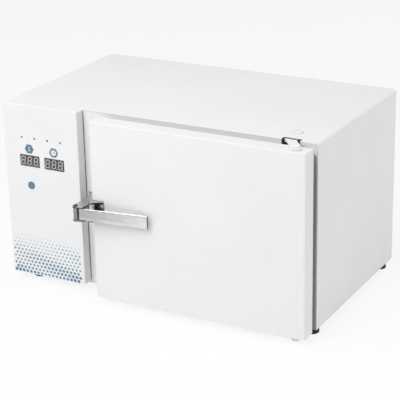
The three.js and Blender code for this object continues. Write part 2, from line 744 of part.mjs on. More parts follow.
function addChamber() {
  const back = LINER_BACK;
  const flange = runBack(chamberOutline(CHAMBER_FLANGE), LINER_FRONT, LINER_FRONT + CHAMBER_SHEET);
  const box = runBack(chamberOutline(CHAMBER_SHEET), LINER_FRONT, back);
  const space = runBack(chamberOutline(0), LINER_FRONT - OVERRUN, back - CHAMBER_SHEET);
  const liner = cut(join(flange, box), space, ...acrossTools);
  place(cabinet, "chamber_liner", liner, STAINLESS);

  const woolFront = LINER_FRONT + CHAMBER_SHEET + SEAT;
  const woolLeft = BULKHEAD_X + SHEET + SEAT;
  const wool = runBack(insideOutline(woolLeft), woolFront, back + INSULATION_BEHIND);
  const linerSpace = runBack(chamberOutline(CHAMBER_SHEET + SEAT), -OVERRUN, back + SEAT);
  const armPocket = block(
    ARM_LEFT - HINGE_NOTCH_MARGIN,
    ARM_RIGHT + HINGE_NOTCH_MARGIN,
    -OVERRUN,
    HINGE_ARM_REACH + HINGE_NOTCH_MARGIN,
    INNER_TOP - HINGE_ARM_THICKNESS - CAP_SCREW_RADIUS - OVERRUN,
    INNER_TOP + OVERRUN,
  );
  const insulation = cut(wool, linerSpace, armPocket, ...acrossTools, cutoutTool);
  place(cabinet, "chamber_insulation", insulation, WOOL);
}

// A level sheet between z0 and z1 with rows of slots, its sides at x0, x1, y0 and y1
function slottedSheet(x0, x1, y0, y1, z0, z1) {
  const tools = [];
  const pitchX = (x1 - x0) / SHELF_SLOT_COLUMNS;
  const pitchY = (y1 - y0) / SHELF_SLOT_ROWS;
  for (let column = 0; column < SHELF_SLOT_COLUMNS; column += 1) {
    for (let row = 0; row < SHELF_SLOT_ROWS; row += 1) {
      const x = x0 + (column + half(1)) * pitchX;
      const y = y0 + (row + half(1)) * pitchY;
      const opening = slot(x, y, SHELF_SLOT_LENGTH, SHELF_SLOT_WIDTH);
      tools.push(raise(opening, z0 - OVERRUN, z1 + OVERRUN));
    }
  }
  return cut(block(x0, x1, y0, y1, z0, z1), ...tools);
}

function addChamberFittings() {
  const front = LINER_FRONT + RAIL_INSET;
  const back = LINER_BACK - CHAMBER_SHEET - RAIL_INSET;

  const floorLeft = CHAMBER_LEFT + CHAMBER_CORNER;
  const floorRight = CHAMBER_RIGHT - CHAMBER_CORNER;
  const floorTop = CHAMBER_BOTTOM + FLOOR_HEIGHT;
  const floorFoot = CHAMBER_BOTTOM + SEAT;
  const sheetBottom = floorTop - SHELF_SHEET;
  const floorSheet = slottedSheet(floorLeft, floorRight, front, back, sheetBottom, floorTop);
  const frontWall = block(floorLeft, floorRight, front, front + SHELF_SHEET, floorFoot, floorTop);
  const backWall = block(floorLeft, floorRight, back - SHELF_SHEET, back, floorFoot, floorTop);
  place(cabinet, "chamber_floor", join(floorSheet, frontWall, backWall), STAINLESS);

  const railFeet = CHAMBER_BOTTOM + RAIL_BOTTOM;
  const shelfHeights = [LOWER_SHELF_HEIGHT, UPPER_SHELF_HEIGHT];
  function rail(wallX, side) {
    const edge = wallX + side * SEAT;
    const face = edge + side * CHAMBER_SHEET;
    const tip = face + side * RAIL_LEDGE;
    const from = Math.min(edge, face);
    const plate = block(from, from + CHAMBER_SHEET, front, back, railFeet, railFeet + RAIL_HEIGHT);
    const ledges = shelfHeights.map((height) => {
      const top = CHAMBER_BOTTOM + height;
      const x0 = Math.min(edge, tip);
      return block(x0, x0 + CHAMBER_SHEET + RAIL_LEDGE, front, back, top - CHAMBER_SHEET, top);
    });
    return join(plate, ...ledges);
  }
  place(cabinet, "left_shelf_rail", rail(CHAMBER_LEFT, 1), STAINLESS);
  place(cabinet, "right_shelf_rail", rail(CHAMBER_RIGHT, -1), STAINLESS);

  const shelfLeft = CHAMBER_LEFT + SEAT + CHAMBER_SHEET + SHELF_SLIDE_GAP;
  const shelfRight = CHAMBER_RIGHT - SEAT - CHAMBER_SHEET - SHELF_SLIDE_GAP;
  const shelfFront = LINER_FRONT + SHELF_FRONT_GAP;
  function shelf(height) {
    const bottom = CHAMBER_BOTTOM + height + SEAT;
    const top = bottom + SHELF_SHEET;
    const lipTop = bottom + SHELF_LIP;
    const sheet = slottedSheet(shelfLeft, shelfRight, shelfFront, back, bottom, top);
    const frontEdge = shelfFront + SHELF_SHEET;
    const frontLip = block(shelfLeft, shelfRight, shelfFront, frontEdge, bottom, lipTop);
    const backLip = block(shelfLeft, shelfRight, back - SHELF_SHEET, back, bottom, lipTop);
    return join(sheet, frontLip, backLip);
  }
  place(cabinet, "lower_shelf", shelf(LOWER_SHELF_HEIGHT), STAINLESS);
  place(cabinet, "upper_shelf", shelf(UPPER_SHELF_HEIGHT), STAINLESS);
}

// The heater's legs run across the chamber and turn back on themselves at each end
function heaterPath() {
  const radius = half(HEATER_PITCH);
  const nearX = CHAMBER_LEFT + HEATER_END_GAP + radius;
  const farX = CHAMBER_RIGHT - HEATER_END_GAP - radius;
  const points = [new THREE.Vector3(HEATER_START, HEATER_FRONT, HEATER_Z)];
  for (let leg = 0; leg < HEATER_LEGS - 1; leg += 1) {
    const outward = leg % 2 === 0;
    const centreX = outward ? farX : nearX;
    const centreY = HEATER_FRONT + (leg + half(1)) * HEATER_PITCH;
    for (let i = 0; i <= HEATER_BEND_STEPS; i += 1) {
      const angle = -Math.PI / 2 + (i / HEATER_BEND_STEPS) * Math.PI;
      const reach = radius * Math.cos(angle) * (outward ? 1 : -1);
      const y = centreY + radius * Math.sin(angle);
      points.push(new THREE.Vector3(centreX + reach, y, HEATER_Z));
    }
  }
  const lastY = HEATER_FRONT + (HEATER_LEGS - 1) * HEATER_PITCH;
  points.push(new THREE.Vector3(HEATER_START, lastY, HEATER_Z));
  return points;
}

function addHeatAndSensors() {
  place(cabinet, "chamber_heater", tube(heaterPath(), HEATER_RADIUS, TUBE_STEPS), ZINC);
  const probeTip = CHAMBER_LEFT + PROBE_REACH;
  const stem = rodX(PROBE_Y, PROBE_Z, PROBE_RADIUS, HEATER_START, probeTip, SMALL_STEPS);
  const nutRight = BULKHEAD_X - SEAT;
  const nutLeft = nutRight - PROBE_NUT_LENGTH;
  const nut = rodX(PROBE_Y, PROBE_Z, PROBE_NUT_RADIUS, nutLeft, nutRight, TUBE_SIDES);
  place(cabinet, "temperature_probe", join(stem, nut), ZINC);
  const bodyRight = CHAMBER_LEFT - CHAMBER_SHEET - SEAT;
  const bodyLeft = bodyRight - CUTOUT_LENGTH;
  const body = rodX(CUTOUT_Y, CUTOUT_HEIGHT, CUTOUT_RADIUS, bodyLeft, bodyRight);
  const tabs = [-1, 1].map((side) => {
    const y = CUTOUT_Y + side * half(CUTOUT_RADIUS);
    return block(
      bodyLeft - CUTOUT_RADIUS,
      bodyLeft + SEAT,
      y - half(SHEET),
      y + half(SHEET),
      CUTOUT_HEIGHT - PROBE_RADIUS,
      CUTOUT_HEIGHT + PROBE_RADIUS,
    );
  });
  place(cabinet, "thermal_cutout", join(body, ...tabs), BLACK_PLASTIC);
}

const terminalsX = INLET_FROM_SIDE;
const boardBottom = INNER_BOTTOM + POWER_BOARD_LIFT;
const boardTop = boardBottom + BOARD_THICKNESS;
const terminalsBack = POWER_BOARD_BACK - SPACER_INSET;
const terminalsTop = boardTop + TERMINALS_HEIGHT;

function addPowerBoard() {
  const left = POWER_BOARD_MARGIN;
  const right = PANEL_WIDTH - POWER_BOARD_MARGIN + SPACER_INSET;
  const middle = half(left + right);
  const standing = boardTop - half(BOARD_THICKNESS);
  const spacers = [];
  for (const x of [left + SPACER_INSET, right - SPACER_INSET]) {
    for (const y of [POWER_BOARD_FRONT + SPACER_INSET, POWER_BOARD_BACK - SPACER_INSET]) {
      spacers.push(rodZ(x, y, SPACER_RADIUS, INNER_BOTTOM, boardTop, SMALL_STEPS));
    }
  }
  const board = block(
    left,
    right,
    POWER_BOARD_FRONT,
    POWER_BOARD_BACK,
    boardBottom,
    boardTop,
  );
  const transformerFront = POWER_BOARD_FRONT + 2 * SPACER_INSET + 2 * CAPACITOR_RADIUS;
  const transformer = block(
    middle - half(TRANSFORMER_WIDTH),
    middle + half(TRANSFORMER_WIDTH),
    transformerFront,
    transformerFront + TRANSFORMER_LENGTH,
    standing,
    boardTop + TRANSFORMER_HEIGHT,
  );
  const relayFront = transformerFront + TRANSFORMER_LENGTH + SPACER_INSET;
  const relay = block(
    middle - half(RELAY_WIDTH),
    middle + half(RELAY_WIDTH),
    relayFront,
    relayFront + RELAY_LENGTH,
    standing,
    boardTop + RELAY_HEIGHT,
  );
  const terminals = block(
    terminalsX - half(TERMINALS_WIDTH),
    terminalsX + half(TERMINALS_WIDTH),
    terminalsBack - TERMINALS_LENGTH,
    terminalsBack,
    standing,
    terminalsTop,
  );
  const capacitor = rodZ(
    middle,
    POWER_BOARD_FRONT + SPACER_INSET + CAPACITOR_RADIUS,
    CAPACITOR_RADIUS,
    standing,
    boardTop + CAPACITOR_HEIGHT,
    SMALL_STEPS,
  );
  const whole = join(board, ...spacers, transformer, relay, terminals, capacitor);
  place(cabinet, "power_board", whole, CIRCUIT_GREEN);
}

// A loom leaves its start upright or level, bends through its knees, and meets its end squarely
function loom(start, outward, knees, end, inward) {
  const first = start.clone().addScaledVector(outward, LOOM_STRAIGHT);
  const last = end.clone().addScaledVector(inward, -LOOM_STRAIGHT);
  const curve = new THREE.CatmullRomCurve3([first, ...knees, last]);
  return tube([start, ...curve.getPoints(LOOM_STEPS), end], LOOM_RADIUS, LOOM_STEPS);
}

function addLooms() {
  const forward = new THREE.Vector3(0, -1, 0);
  const down = new THREE.Vector3(0, 0, -1);
  const up = new THREE.Vector3(0, 0, 1);
  const inletInner = CABINET_DEPTH - INLET_DEPTH - SEAT;
  const terminalsMiddle = terminalsBack - half(TERMINALS_LENGTH);
  const mains = loom(
    new THREE.Vector3(INLET_FROM_SIDE, inletInner, INLET_HEIGHT),
    forward,
    [new THREE.Vector3(INLET_FROM_SIDE, terminalsMiddle + LOOM_STRAIGHT, INLET_HEIGHT)],
    new THREE.Vector3(INLET_FROM_SIDE, terminalsMiddle, terminalsTop + SEAT),
    down,
  );
  place(cabinet, "mains_loom", mains, CABLE_GREY);

  const signalX = half(PANEL_WIDTH) + half(DISPLAY_PITCH);
  const plugHeight = BUTTON_HEIGHT + 2 * LOOM_RADIUS;
  const bayMiddle = half(POWER_BOARD_FRONT);
  const signal = loom(
    new THREE.Vector3(signalX, POWER_BOARD_FRONT + LOOM_STRAIGHT, boardTop + SEAT),
    up,
    [
      new THREE.Vector3(signalX, bayMiddle, half(BUTTON_HEIGHT)),
      new THREE.Vector3(signalX, bayMiddle, BUTTON_HEIGHT),
    ],
    new THREE.Vector3(signalX, BOARD_BACK + SEAT, plugHeight),
    forward,
  );
  place(cabinet, "signal_loom", signal, CABLE_GREY);
}

function addInletAndSwitch() {
  const back = CABINET_DEPTH;
  const plate = back + SEAT;
  const plateBack = plate + INLET_FLANGE_THICKNESS;
  const inletBody = runBack(
    slot(INLET_FROM_SIDE, INLET_HEIGHT, INLET_WIDTH, INLET_TALL),
    back - INLET_DEPTH,
    plateBack,
  );
  const inletFlange = runBack(
    roundedRectangle(
      INLET_FROM_SIDE - half(INLET_WIDTH) - INLET_FLANGE_SIDE,
      INLET_HEIGHT - half(INLET_TALL) - INLET_FLANGE_TOP,
      INLET_FROM_SIDE + half(INLET_WIDTH) + INLET_FLANGE_SIDE,
      INLET_HEIGHT + half(INLET_TALL) + INLET_FLANGE_TOP,
      INLET_FLANGE_TOP,
    ),
    plate,
    plateBack,
  );
  const socketFloor = back - INLET_DEPTH + INLET_WALL + SEAT;
  const socket = runBack(
    slot(
      INLET_FROM_SIDE,
      INLET_HEIGHT,
      INLET_WIDTH - 2 * INLET_WALL,
      INLET_TALL - 2 * INLET_WALL,
    ),
    socketFloor,
    plateBack + OVERRUN,
  );
  const pins = [-1, 0, 1].map((side) => {
    const x = INLET_FROM_SIDE + side * INLET_PIN_PITCH;
    const z = INLET_HEIGHT - (side === 0 ? 0 : half(INLET_PIN_TALL));
    return block(
      x - half(INLET_PIN_WIDTH),
      x + half(INLET_PIN_WIDTH),
      socketFloor - half(INLET_WALL),
      back - INLET_PIN_BACK,
      z - half(INLET_PIN_TALL),
      z + half(INLET_PIN_TALL),
    );
  });
  const inlet = join(cut(join(inletBody, inletFlange), socket), ...pins);
  place(cabinet, "power_inlet", inlet, BLACK_PLASTIC);

  const bezelBack = plate + SWITCH_BEZEL_THICKNESS;
  const switchBody = runBack(
    slot(SWITCH_X, INLET_HEIGHT, SWITCH_BODY_WIDTH, SWITCH_BODY_TALL),
    back - SWITCH_BODY_DEPTH,
    bezelBack,
  );
  const bezelWidth = SWITCH_BODY_WIDTH + 2 * SWITCH_BEZEL;
  const bezelTall = SWITCH_BODY_TALL + 2 * SWITCH_BEZEL;
  const bezel = runBack(slot(SWITCH_X, INLET_HEIGHT, bezelWidth, bezelTall), plate, bezelBack);
  const wellWidth = SWITCH_BODY_WIDTH - 2 * SWITCH_WALL;
  const wellTall = SWITCH_BODY_TALL - 2 * SWITCH_WALL;
  const well = runBack(
    slot(SWITCH_X, INLET_HEIGHT, wellWidth, wellTall),
    back - half(SWITCH_BODY_DEPTH),
    bezelBack + OVERRUN,
  );
  const wellBody = cut(join(switchBody, bezel), well);
  place(cabinet, "power_switch_body", wellBody, BLACK_PLASTIC);

  const rockerWidth = wellWidth - 2 * ROCKER_CLEARANCE;
  const rockerTall = wellTall - 4 * ROCKER_CLEARANCE;
  const key = new THREE.BoxGeometry(rockerWidth, ROCKER_THICKNESS, rockerTall);
  key.translate(0, -ROCKER_SUNK, 0);
  key.rotateX(ROCKER_TILT);
  key.translate(SWITCH_X, back, INLET_HEIGHT);
  place(cabinet, "power_rocker", toSolid(key), BLACK_PLASTIC);
}

function addFeet() {
  const top = -SEAT;
  const bottom = -FOOT_HEIGHT;
  const seat = bottom + FOOT_RECESS_DEPTH;
  for (const [where, [x, y]] of Object.entries(footPlaces)) {
    const profile = [
      [FOOT_SCREW_RADIUS + SEAT, seat],
      [FOOT_RECESS_RADIUS, seat],
      [FOOT_RECESS_RADIUS, bottom],
      [FOOT_RADIUS - FOOT_TAPER, bottom],
      [FOOT_RADIUS, bottom + FOOT_TAPER],
      [FOOT_RADIUS - FOOT_TAPER, top],
      [FOOT_SCREW_RADIUS + SEAT, top],
      [FOOT_SCREW_RADIUS + SEAT, seat],
    ];
    place(cabinet, `foot_${where}`, turned(profile, x, y), BLACK_RUBBER);
    const headTop = seat - SEAT;
    const shank = rodZ(x, y, FOOT_SCREW_RADIUS, headTop - SEAT, SHEET, SMALL_STEPS);
    const head = rodZ(x, y, FOOT_SCREW_HEAD, headTop - FOOT_SCREW_HEAD_HEIGHT, headTop);
    place(cabinet, `foot_screw_${where}`, join(shank, head), ZINC);
  }
}

// The arm in plan: a strip behind the front plane and a boss round the pin
function armPlan(backFrom) {
  const shape = new THREE.Shape();
  const quarter = Math.PI / 2;
  shape.moveTo(ARM_LEFT, HINGE_ARM_REACH);
  shape.lineTo(ARM_LEFT, backFrom);
  shape.lineTo(HINGE_X - HINGE_BOSS_RADIUS, HINGE_Y);
  shape.absarc(HINGE_X, HINGE_Y, HINGE_BOSS_RADIUS, 2 * quarter, 4 * quarter, false);
  shape.lineTo(ARM_RIGHT, backFrom);
  shape.lineTo(ARM_RIGHT, HINGE_ARM_REACH);
  shape.closePath();
  return shape;
}

function addHinges() {
  const plan = armPlan(0);
  const stepBack = SEAT + HINGE_STEP_DEPTH;
  const low = INNER_TOP - HINGE_ARM_THICKNESS;
  const high = ARM_OUTER_BOTTOM + HINGE_ARM_THICKNESS;
  const far = CABINET_WIDTH;
  const inside = cut(
    raise(plan, low, INNER_TOP),
    block(0, far, -far, SEAT, low - OVERRUN, CABINET_HEIGHT + OVERRUN),
  );
  const outside = cut(
    raise(plan, ARM_OUTER_BOTTOM, high),
    block(0, far, stepBack, far, low - OVERRUN, CABINET_HEIGHT + OVERRUN),
  );
  const step = block(ARM_LEFT, ARM_RIGHT, SEAT, stepBack, low, high);
  const pinHole = rodZ(
    HINGE_X,
    HINGE_Y,
    HINGE_PIN_RADIUS + SEAT,
    ARM_OUTER_BOTTOM - OVERRUN,
    high + OVERRUN,
  );
  const capHole = rodZ(
    CAP_X,
    CAP_FROM_FRONT,
    CAP_SCREW_RADIUS + SEAT,
    low - OVERRUN,
    INNER_TOP + OVERRUN,
    SMALL_STEPS,
  );
  const topArm = cut(join(inside, outside, step), pinHole, capHole);
  place(cabinet, "top_hinge_arm", topArm, WHITE_PAINT);

  const headSeat = high + SEAT;
  const topPin = turned(
    [
      [0, DOOR_TOP - HINGE_PIN_LENGTH],
      [HINGE_PIN_RADIUS, DOOR_TOP - HINGE_PIN_LENGTH],
      [HINGE_PIN_RADIUS, headSeat],
      [HINGE_HEAD_RADIUS, headSeat],
      [HINGE_HEAD_RADIUS, headSeat + half(HINGE_HEAD_HEIGHT)],
      [half(HINGE_HEAD_RADIUS), headSeat + HINGE_HEAD_HEIGHT],
      [0, headSeat + HINGE_HEAD_HEIGHT],
    ],
    HINGE_X,
    HINGE_Y,
  );
  place(cabinet, "top_hinge_pin", topPin, WHITE_PAINT);

  const capSeat = CABINET_HEIGHT + SEAT;
  const capBottom = low - CAP_SCREW_RADIUS;
  const cap = turned(
    [
      [0, capBottom],
      [CAP_SCREW_RADIUS, capBottom],
      [CAP_SCREW_RADIUS, capSeat],
      [CAP_RADIUS, capSeat],
      [CAP_RADIUS * Math.cos(CAP_SLOPE), capSeat + half(CAP_HEIGHT)],
      [half(CAP_RADIUS), capSeat + CAP_HEIGHT * Math.cos(CAP_SLOPE)],
      [0, capSeat + CAP_HEIGHT],
    ],
    CAP_X,
    CAP_FROM_FRONT,
  );
  place(cabinet, "hinge_cap_screw", cap, CREAM_PLASTIC);

  const armTop = -SEAT;
  const armBottom = armTop - HINGE_ARM_THICKNESS;
  const bottomPinHole = rodZ(
    HINGE_X,
    HINGE_Y,
    HINGE_PIN_RADIUS + SEAT,
    armBottom - OVERRUN,
    armTop + OVERRUN,
  );
  const bottomArm = cut(raise(plan, armBottom, armTop), bottomPinHole);
  place(cabinet, "bottom_hinge_arm", bottomArm, WHITE_PAINT);

  const bottomHead = armBottom - SEAT;
  const nutBottom = bottomHead - HINGE_CAP_NUT_HEIGHT;
  const bottomPin = turned(
    [
      [0, nutBottom],
      [HINGE_PIN_RADIUS, nutBottom],
      [HINGE_CAP_NUT_RADIUS, nutBottom + HINGE_CAP_NUT_DOME],
      [HINGE_CAP_NUT_RADIUS, bottomHead],
      [HINGE_PIN_RADIUS, bottomHead],
      [HINGE_PIN_RADIUS, DOOR_BOTTOM + HINGE_PIN_LENGTH],
      [0, DOOR_BOTTOM + HINGE_PIN_LENGTH],
    ],
    HINGE_X,
    HINGE_Y,
  );
  place(cabinet, "bottom_hinge_pin", bottomPin, WHITE_PAINT);
}

// The keeper in plan: it passes the door's left edge and widens in front of it
function keeperPlan() {
  const nearDoor = DOOR_LEFT - KEEPER_NEAR;
  const front = ROLLER_Y - KEEPER_NOSE_RADIUS;
  const quarter = Math.PI / 2;
  const shape = new THREE.Shape();
  shape.moveTo(KEEPER_FOOT_LEFT + KEEPER_NEAR, -SEAT);
  shape.lineTo(ROLLER_X - KEEPER_WALL_OUT, DOOR_BACK);
  shape.lineTo(ROLLER_X - KEEPER_NOSE_RADIUS, DOOR_FRONT);
  shape.lineTo(ROLLER_X - KEEPER_NOSE_RADIUS, ROLLER_Y);
  shape.absarc(ROLLER_X, ROLLER_Y, KEEPER_NOSE_RADIUS, 2 * quarter, 3 * quarter, false);
  shape.lineTo(nearDoor - KEEPER_NEAR, front + KEEPER_NEAR);
  shape.lineTo(nearDoor, DOOR_FRONT);
  shape.lineTo(half(ROLLER_X + DOOR_LEFT), DOOR_FRONT + half(DOOR_THICKNESS));
  shape.lineTo(ROLLER_X + KEEPER_NEAR, DOOR_BACK);
  shape.lineTo(ROLLER_X + KEEPER_NEAR, -SEAT);
  shape.closePath();
  return shape;
}

// The keeper's left wall in plan, along the same edge and short of the roller
function keeperWallPlan() {
  const left = ROLLER_X - KEEPER_NOSE_RADIUS;
  const back = ROLLER_X - KEEPER_WALL_OUT;
  const foot = KEEPER_FOOT_LEFT + KEEPER_NEAR;
  const end = DOOR_FRONT - half(LATCH_PIVOT_OUT);
  return polygon([
    [foot, -SEAT],
    [back, DOOR_BACK],
    [left, DOOR_FRONT],
    [left, end],
    [left + LATCH_SHEET, end],
    [left + LATCH_SHEET, DOOR_FRONT],
    [back + LATCH_SHEET, DOOR_BACK],
    [foot + LATCH_SHEET, -SEAT],
  ]);
}

function addKeeper() {
  const flangeTop = LATCH_HEIGHT + half(KEEPER_HEIGHT);
  const flangeBottom = LATCH_HEIGHT - half(KEEPER_HEIGHT);
  const plan = keeperPlan();
  const foot = block(
    KEEPER_FOOT_LEFT,
    KEEPER_FOOT_LEFT + KEEPER_FOOT_WIDTH,
    -SEAT - LATCH_SHEET,
    -SEAT,
    flangeBottom,
    flangeTop,
  );
  const screwHoles = keeperScrewHeights.map((z) =>
    rodY(KEEPER_SCREW_X, z, SCREW_RADIUS + SEAT, -OVERRUN, OVERRUN, SMALL_STEPS),
  );
  const keeper = cut(
    join(
      foot,
      raise(plan, flangeTop - LATCH_SHEET, flangeTop),
      raise(plan, flangeBottom, flangeBottom + LATCH_SHEET),
      raise(keeperWallPlan(), flangeBottom, flangeTop),
    ),
    rodZ(
      ROLLER_X,
      ROLLER_Y,
      ROLLER_PIN_RADIUS + SEAT,
      flangeBottom - OVERRUN,
      flangeTop + OVERRUN,
      SMALL_STEPS,
    ),
    ...screwHoles,
  );
  place(cabinet, "latch_keeper", keeper, STAINLESS);

  const headTop = flangeTop + SEAT;
  const headBottom = flangeBottom - SEAT;
  const pin = join(
    rodZ(ROLLER_X, ROLLER_Y, ROLLER_PIN_RADIUS, headBottom, headTop, SMALL_STEPS),
    rodZ(ROLLER_X, ROLLER_Y, PIN_HEAD_RADIUS, headTop, headTop + PIN_HEAD_HEIGHT, SMALL_STEPS),
    rodZ(ROLLER_X, ROLLER_Y, PIN_HEAD_RADIUS, headBottom - PIN_HEAD_HEIGHT, headBottom, SMALL_STEPS),
  );
  place(cabinet, "keeper_pin", pin, ZINC);

  const rollerBottom = LATCH_HEIGHT - half(KEEPER_GAP) + ROLLER_CLEARANCE;
  const rollerTop = LATCH_HEIGHT + half(KEEPER_GAP) - ROLLER_CLEARANCE;
  const roller = cut(
    rodZ(ROLLER_X, ROLLER_Y, ROLLER_RADIUS, rollerBottom, rollerTop),
    rodZ(
      ROLLER_X,
      ROLLER_Y,
      ROLLER_PIN_RADIUS + RUNNING,
      rollerBottom - OVERRUN,
      rollerTop + OVERRUN,
      SMALL_STEPS,
    ),
  );
  place(cabinet, "keeper_roller", roller, ZINC);

  const names = ["keeper_screw_lower", "keeper_screw_upper"];
  keeperScrewHeights.forEach((z, i) => {
    const seat = -SEAT - LATCH_SHEET - SEAT;
    const shankEnd = seat + LATCH_SHEET + SCREW_LENGTH;
    const shank = rodY(KEEPER_SCREW_X, z, SCREW_RADIUS, seat, shankEnd, SMALL_STEPS);
    const headFront = seat - SCREW_HEAD_HEIGHT;
    const head = rodY(KEEPER_SCREW_X, z, SCREW_HEAD_RADIUS, headFront, seat, SMALL_STEPS);
    place(cabinet, names[i], join(shank, head), ZINC);
  });
}

function addDoorShells() {
  const back = DOOR_BACK;
  const face = roundedRectangle(DOOR_LEFT, DOOR_BOTTOM, DOOR_RIGHT, DOOR_TOP, DOOR_CORNER);
  const hollow = polygon([
    [DOOR_LEFT + SHEET, DOOR_BOTTOM + SHEET],
    [DOOR_RIGHT - SHEET, DOOR_BOTTOM + SHEET],
    [DOOR_RIGHT - SHEET, DOOR_TOP - SHEET],
    [DOOR_LEFT + SHEET, DOOR_TOP - SHEET],
  ]);
  const bushHole = rodZ(HINGE_X, HINGE_Y, BUSH_RADIUS + SEAT, -OVERRUN, CABINET_HEIGHT);
  const latchHoles = latchScrewPlaces().map(([x, z]) =>
    rodY(x, z, SCREW_RADIUS + SEAT, DOOR_FRONT - OVERRUN, DOOR_FRONT + OVERRUN, SMALL_STEPS),
  );
  const skin = cut(
    runBack(face, DOOR_FRONT, back),
    runBack(hollow, DOOR_FRONT + SHEET, back + OVERRUN),
    bushHole,
    ...latchHoles,
  );
  place(door, "door_skin", skin, WHITE_PAINT);

  const grow = GASKET_OFFSET + GASKET_WIDTH + DOOR_LAND_MARGIN;
  const landFace = back + DOOR_LAND_HEIGHT;
  const panBack = back - DOOR_PAN_SHEET;
  const plate = block(
    DOOR_LEFT + SHEET + SEAT,
    DOOR_RIGHT - SHEET - SEAT,
    panBack,
    back,
    DOOR_BOTTOM + SHEET + SEAT,
    DOOR_TOP - SHEET - SEAT,
  );
  const land = runBack(chamberOutline(grow), panBack, landFace);
  const landHollow = runBack(
    chamberOutline(grow - DOOR_PAN_SHEET),
    panBack - OVERRUN,
    landFace - DOOR_PAN_SHEET,
  );
  const plug = runBack(chamberOutline(-DOOR_PLUG_CLEARANCE), panBack, DOOR_PLUG_DEPTH);
  const plugHollow = runBack(
    chamberOutline(-DOOR_PLUG_CLEARANCE - DOOR_PAN_SHEET),
    panBack - OVERRUN,
    DOOR_PLUG_DEPTH - DOOR_PAN_SHEET,
  );
  const pan = cut(join(plate, land, plug), landHollow, plugHollow);
  place(door, "door_inner_pan", pan, STAINLESS);

  const wool = block(
    DOOR_LEFT + SHEET + SEAT,
    DOOR_RIGHT - SHEET - SEAT,
    DOOR_FRONT + SHEET + SEAT,
    panBack - SEAT,
    DOOR_BOTTOM + SHEET + SEAT,
    DOOR_TOP - SHEET - SEAT,
  );
  const landWool = runBack(
    chamberOutline(grow - DOOR_PAN_SHEET - SEAT),
    panBack - SEAT - OVERRUN,
    landFace - DOOR_PAN_SHEET - SEAT,
  );
  const plugWool = runBack(
    chamberOutline(-DOOR_PLUG_CLEARANCE - DOOR_PAN_SHEET - SEAT),
    panBack - SEAT - OVERRUN,
    DOOR_PLUG_DEPTH - DOOR_PAN_SHEET - SEAT,
  );
  const bushSpace = rodZ(HINGE_X, HINGE_Y, BUSH_RADIUS + SEAT, -OVERRUN, CABINET_HEIGHT);
  const screwSpaces = latchScrewPlaces().map(([x, z]) =>
    rodY(
      x,
      z,
      SCREW_RADIUS + SEAT,
      DOOR_FRONT - OVERRUN,
      DOOR_FRONT + SCREW_LENGTH + LATCH_SHEET,
      SMALL_STEPS,
    ),
  );
  const filling = cut(join(wool, landWool, plugWool), bushSpace, ...screwSpaces);
  place(door, "door_insulation", filling, WOOL);

  const ring = roundedRectangle(
    CHAMBER_LEFT - GASKET_OFFSET - GASKET_WIDTH,
    CHAMBER_BOTTOM - GASKET_OFFSET - GASKET_WIDTH,
    CHAMBER_RIGHT + GASKET_OFFSET + GASKET_WIDTH,
    CHAMBER_TOP + GASKET_OFFSET + GASKET_WIDTH,
    GASKET_CORNER + GASKET_WIDTH,
  );
  const ringHole = roundedRectangle(
    CHAMBER_LEFT - GASKET_OFFSET,
    CHAMBER_BOTTOM - GASKET_OFFSET,
    CHAMBER_RIGHT + GASKET_OFFSET,
    CHAMBER_TOP + GASKET_OFFSET,
    GASKET_CORNER,
  );
  ring.holes.push(ringHole);
  place(door, "door_gasket", runBack(ring, landFace + SEAT, -SEAT), SILICONE);
}

function addDoorBushes() {
  const bore = rodZ(HINGE_X, HINGE_Y, HINGE_PIN_RADIUS + RUNNING, -OVERRUN, CABINET_HEIGHT + OVERRUN);
  const topBush = rodZ(HINGE_X, HINGE_Y, BUSH_RADIUS, DOOR_TOP - BUSH_LENGTH, DOOR_TOP);
  place(door, "top_hinge_bush", cut(topBush, bore), BLACK_PLASTIC);
  const bottomBush = rodZ(HINGE_X, HINGE_Y, BUSH_RADIUS, 0, BUSH_LENGTH);
  place(door, "bottom_hinge_bush", cut(bottomBush, bore), BLACK_PLASTIC);
}

function latchScrewPlaces() {
  const x = DOOR_LEFT + LATCH_BRACKET_WIDTH - SCREW_HEAD_RADIUS;
  const inset = LATCH_SHEET + 2 * SCREW_HEAD_RADIUS;
  return [
    [x, BRACKET_BOTTOM + inset],
    [x, BRACKET_TOP - inset],
  ];
}

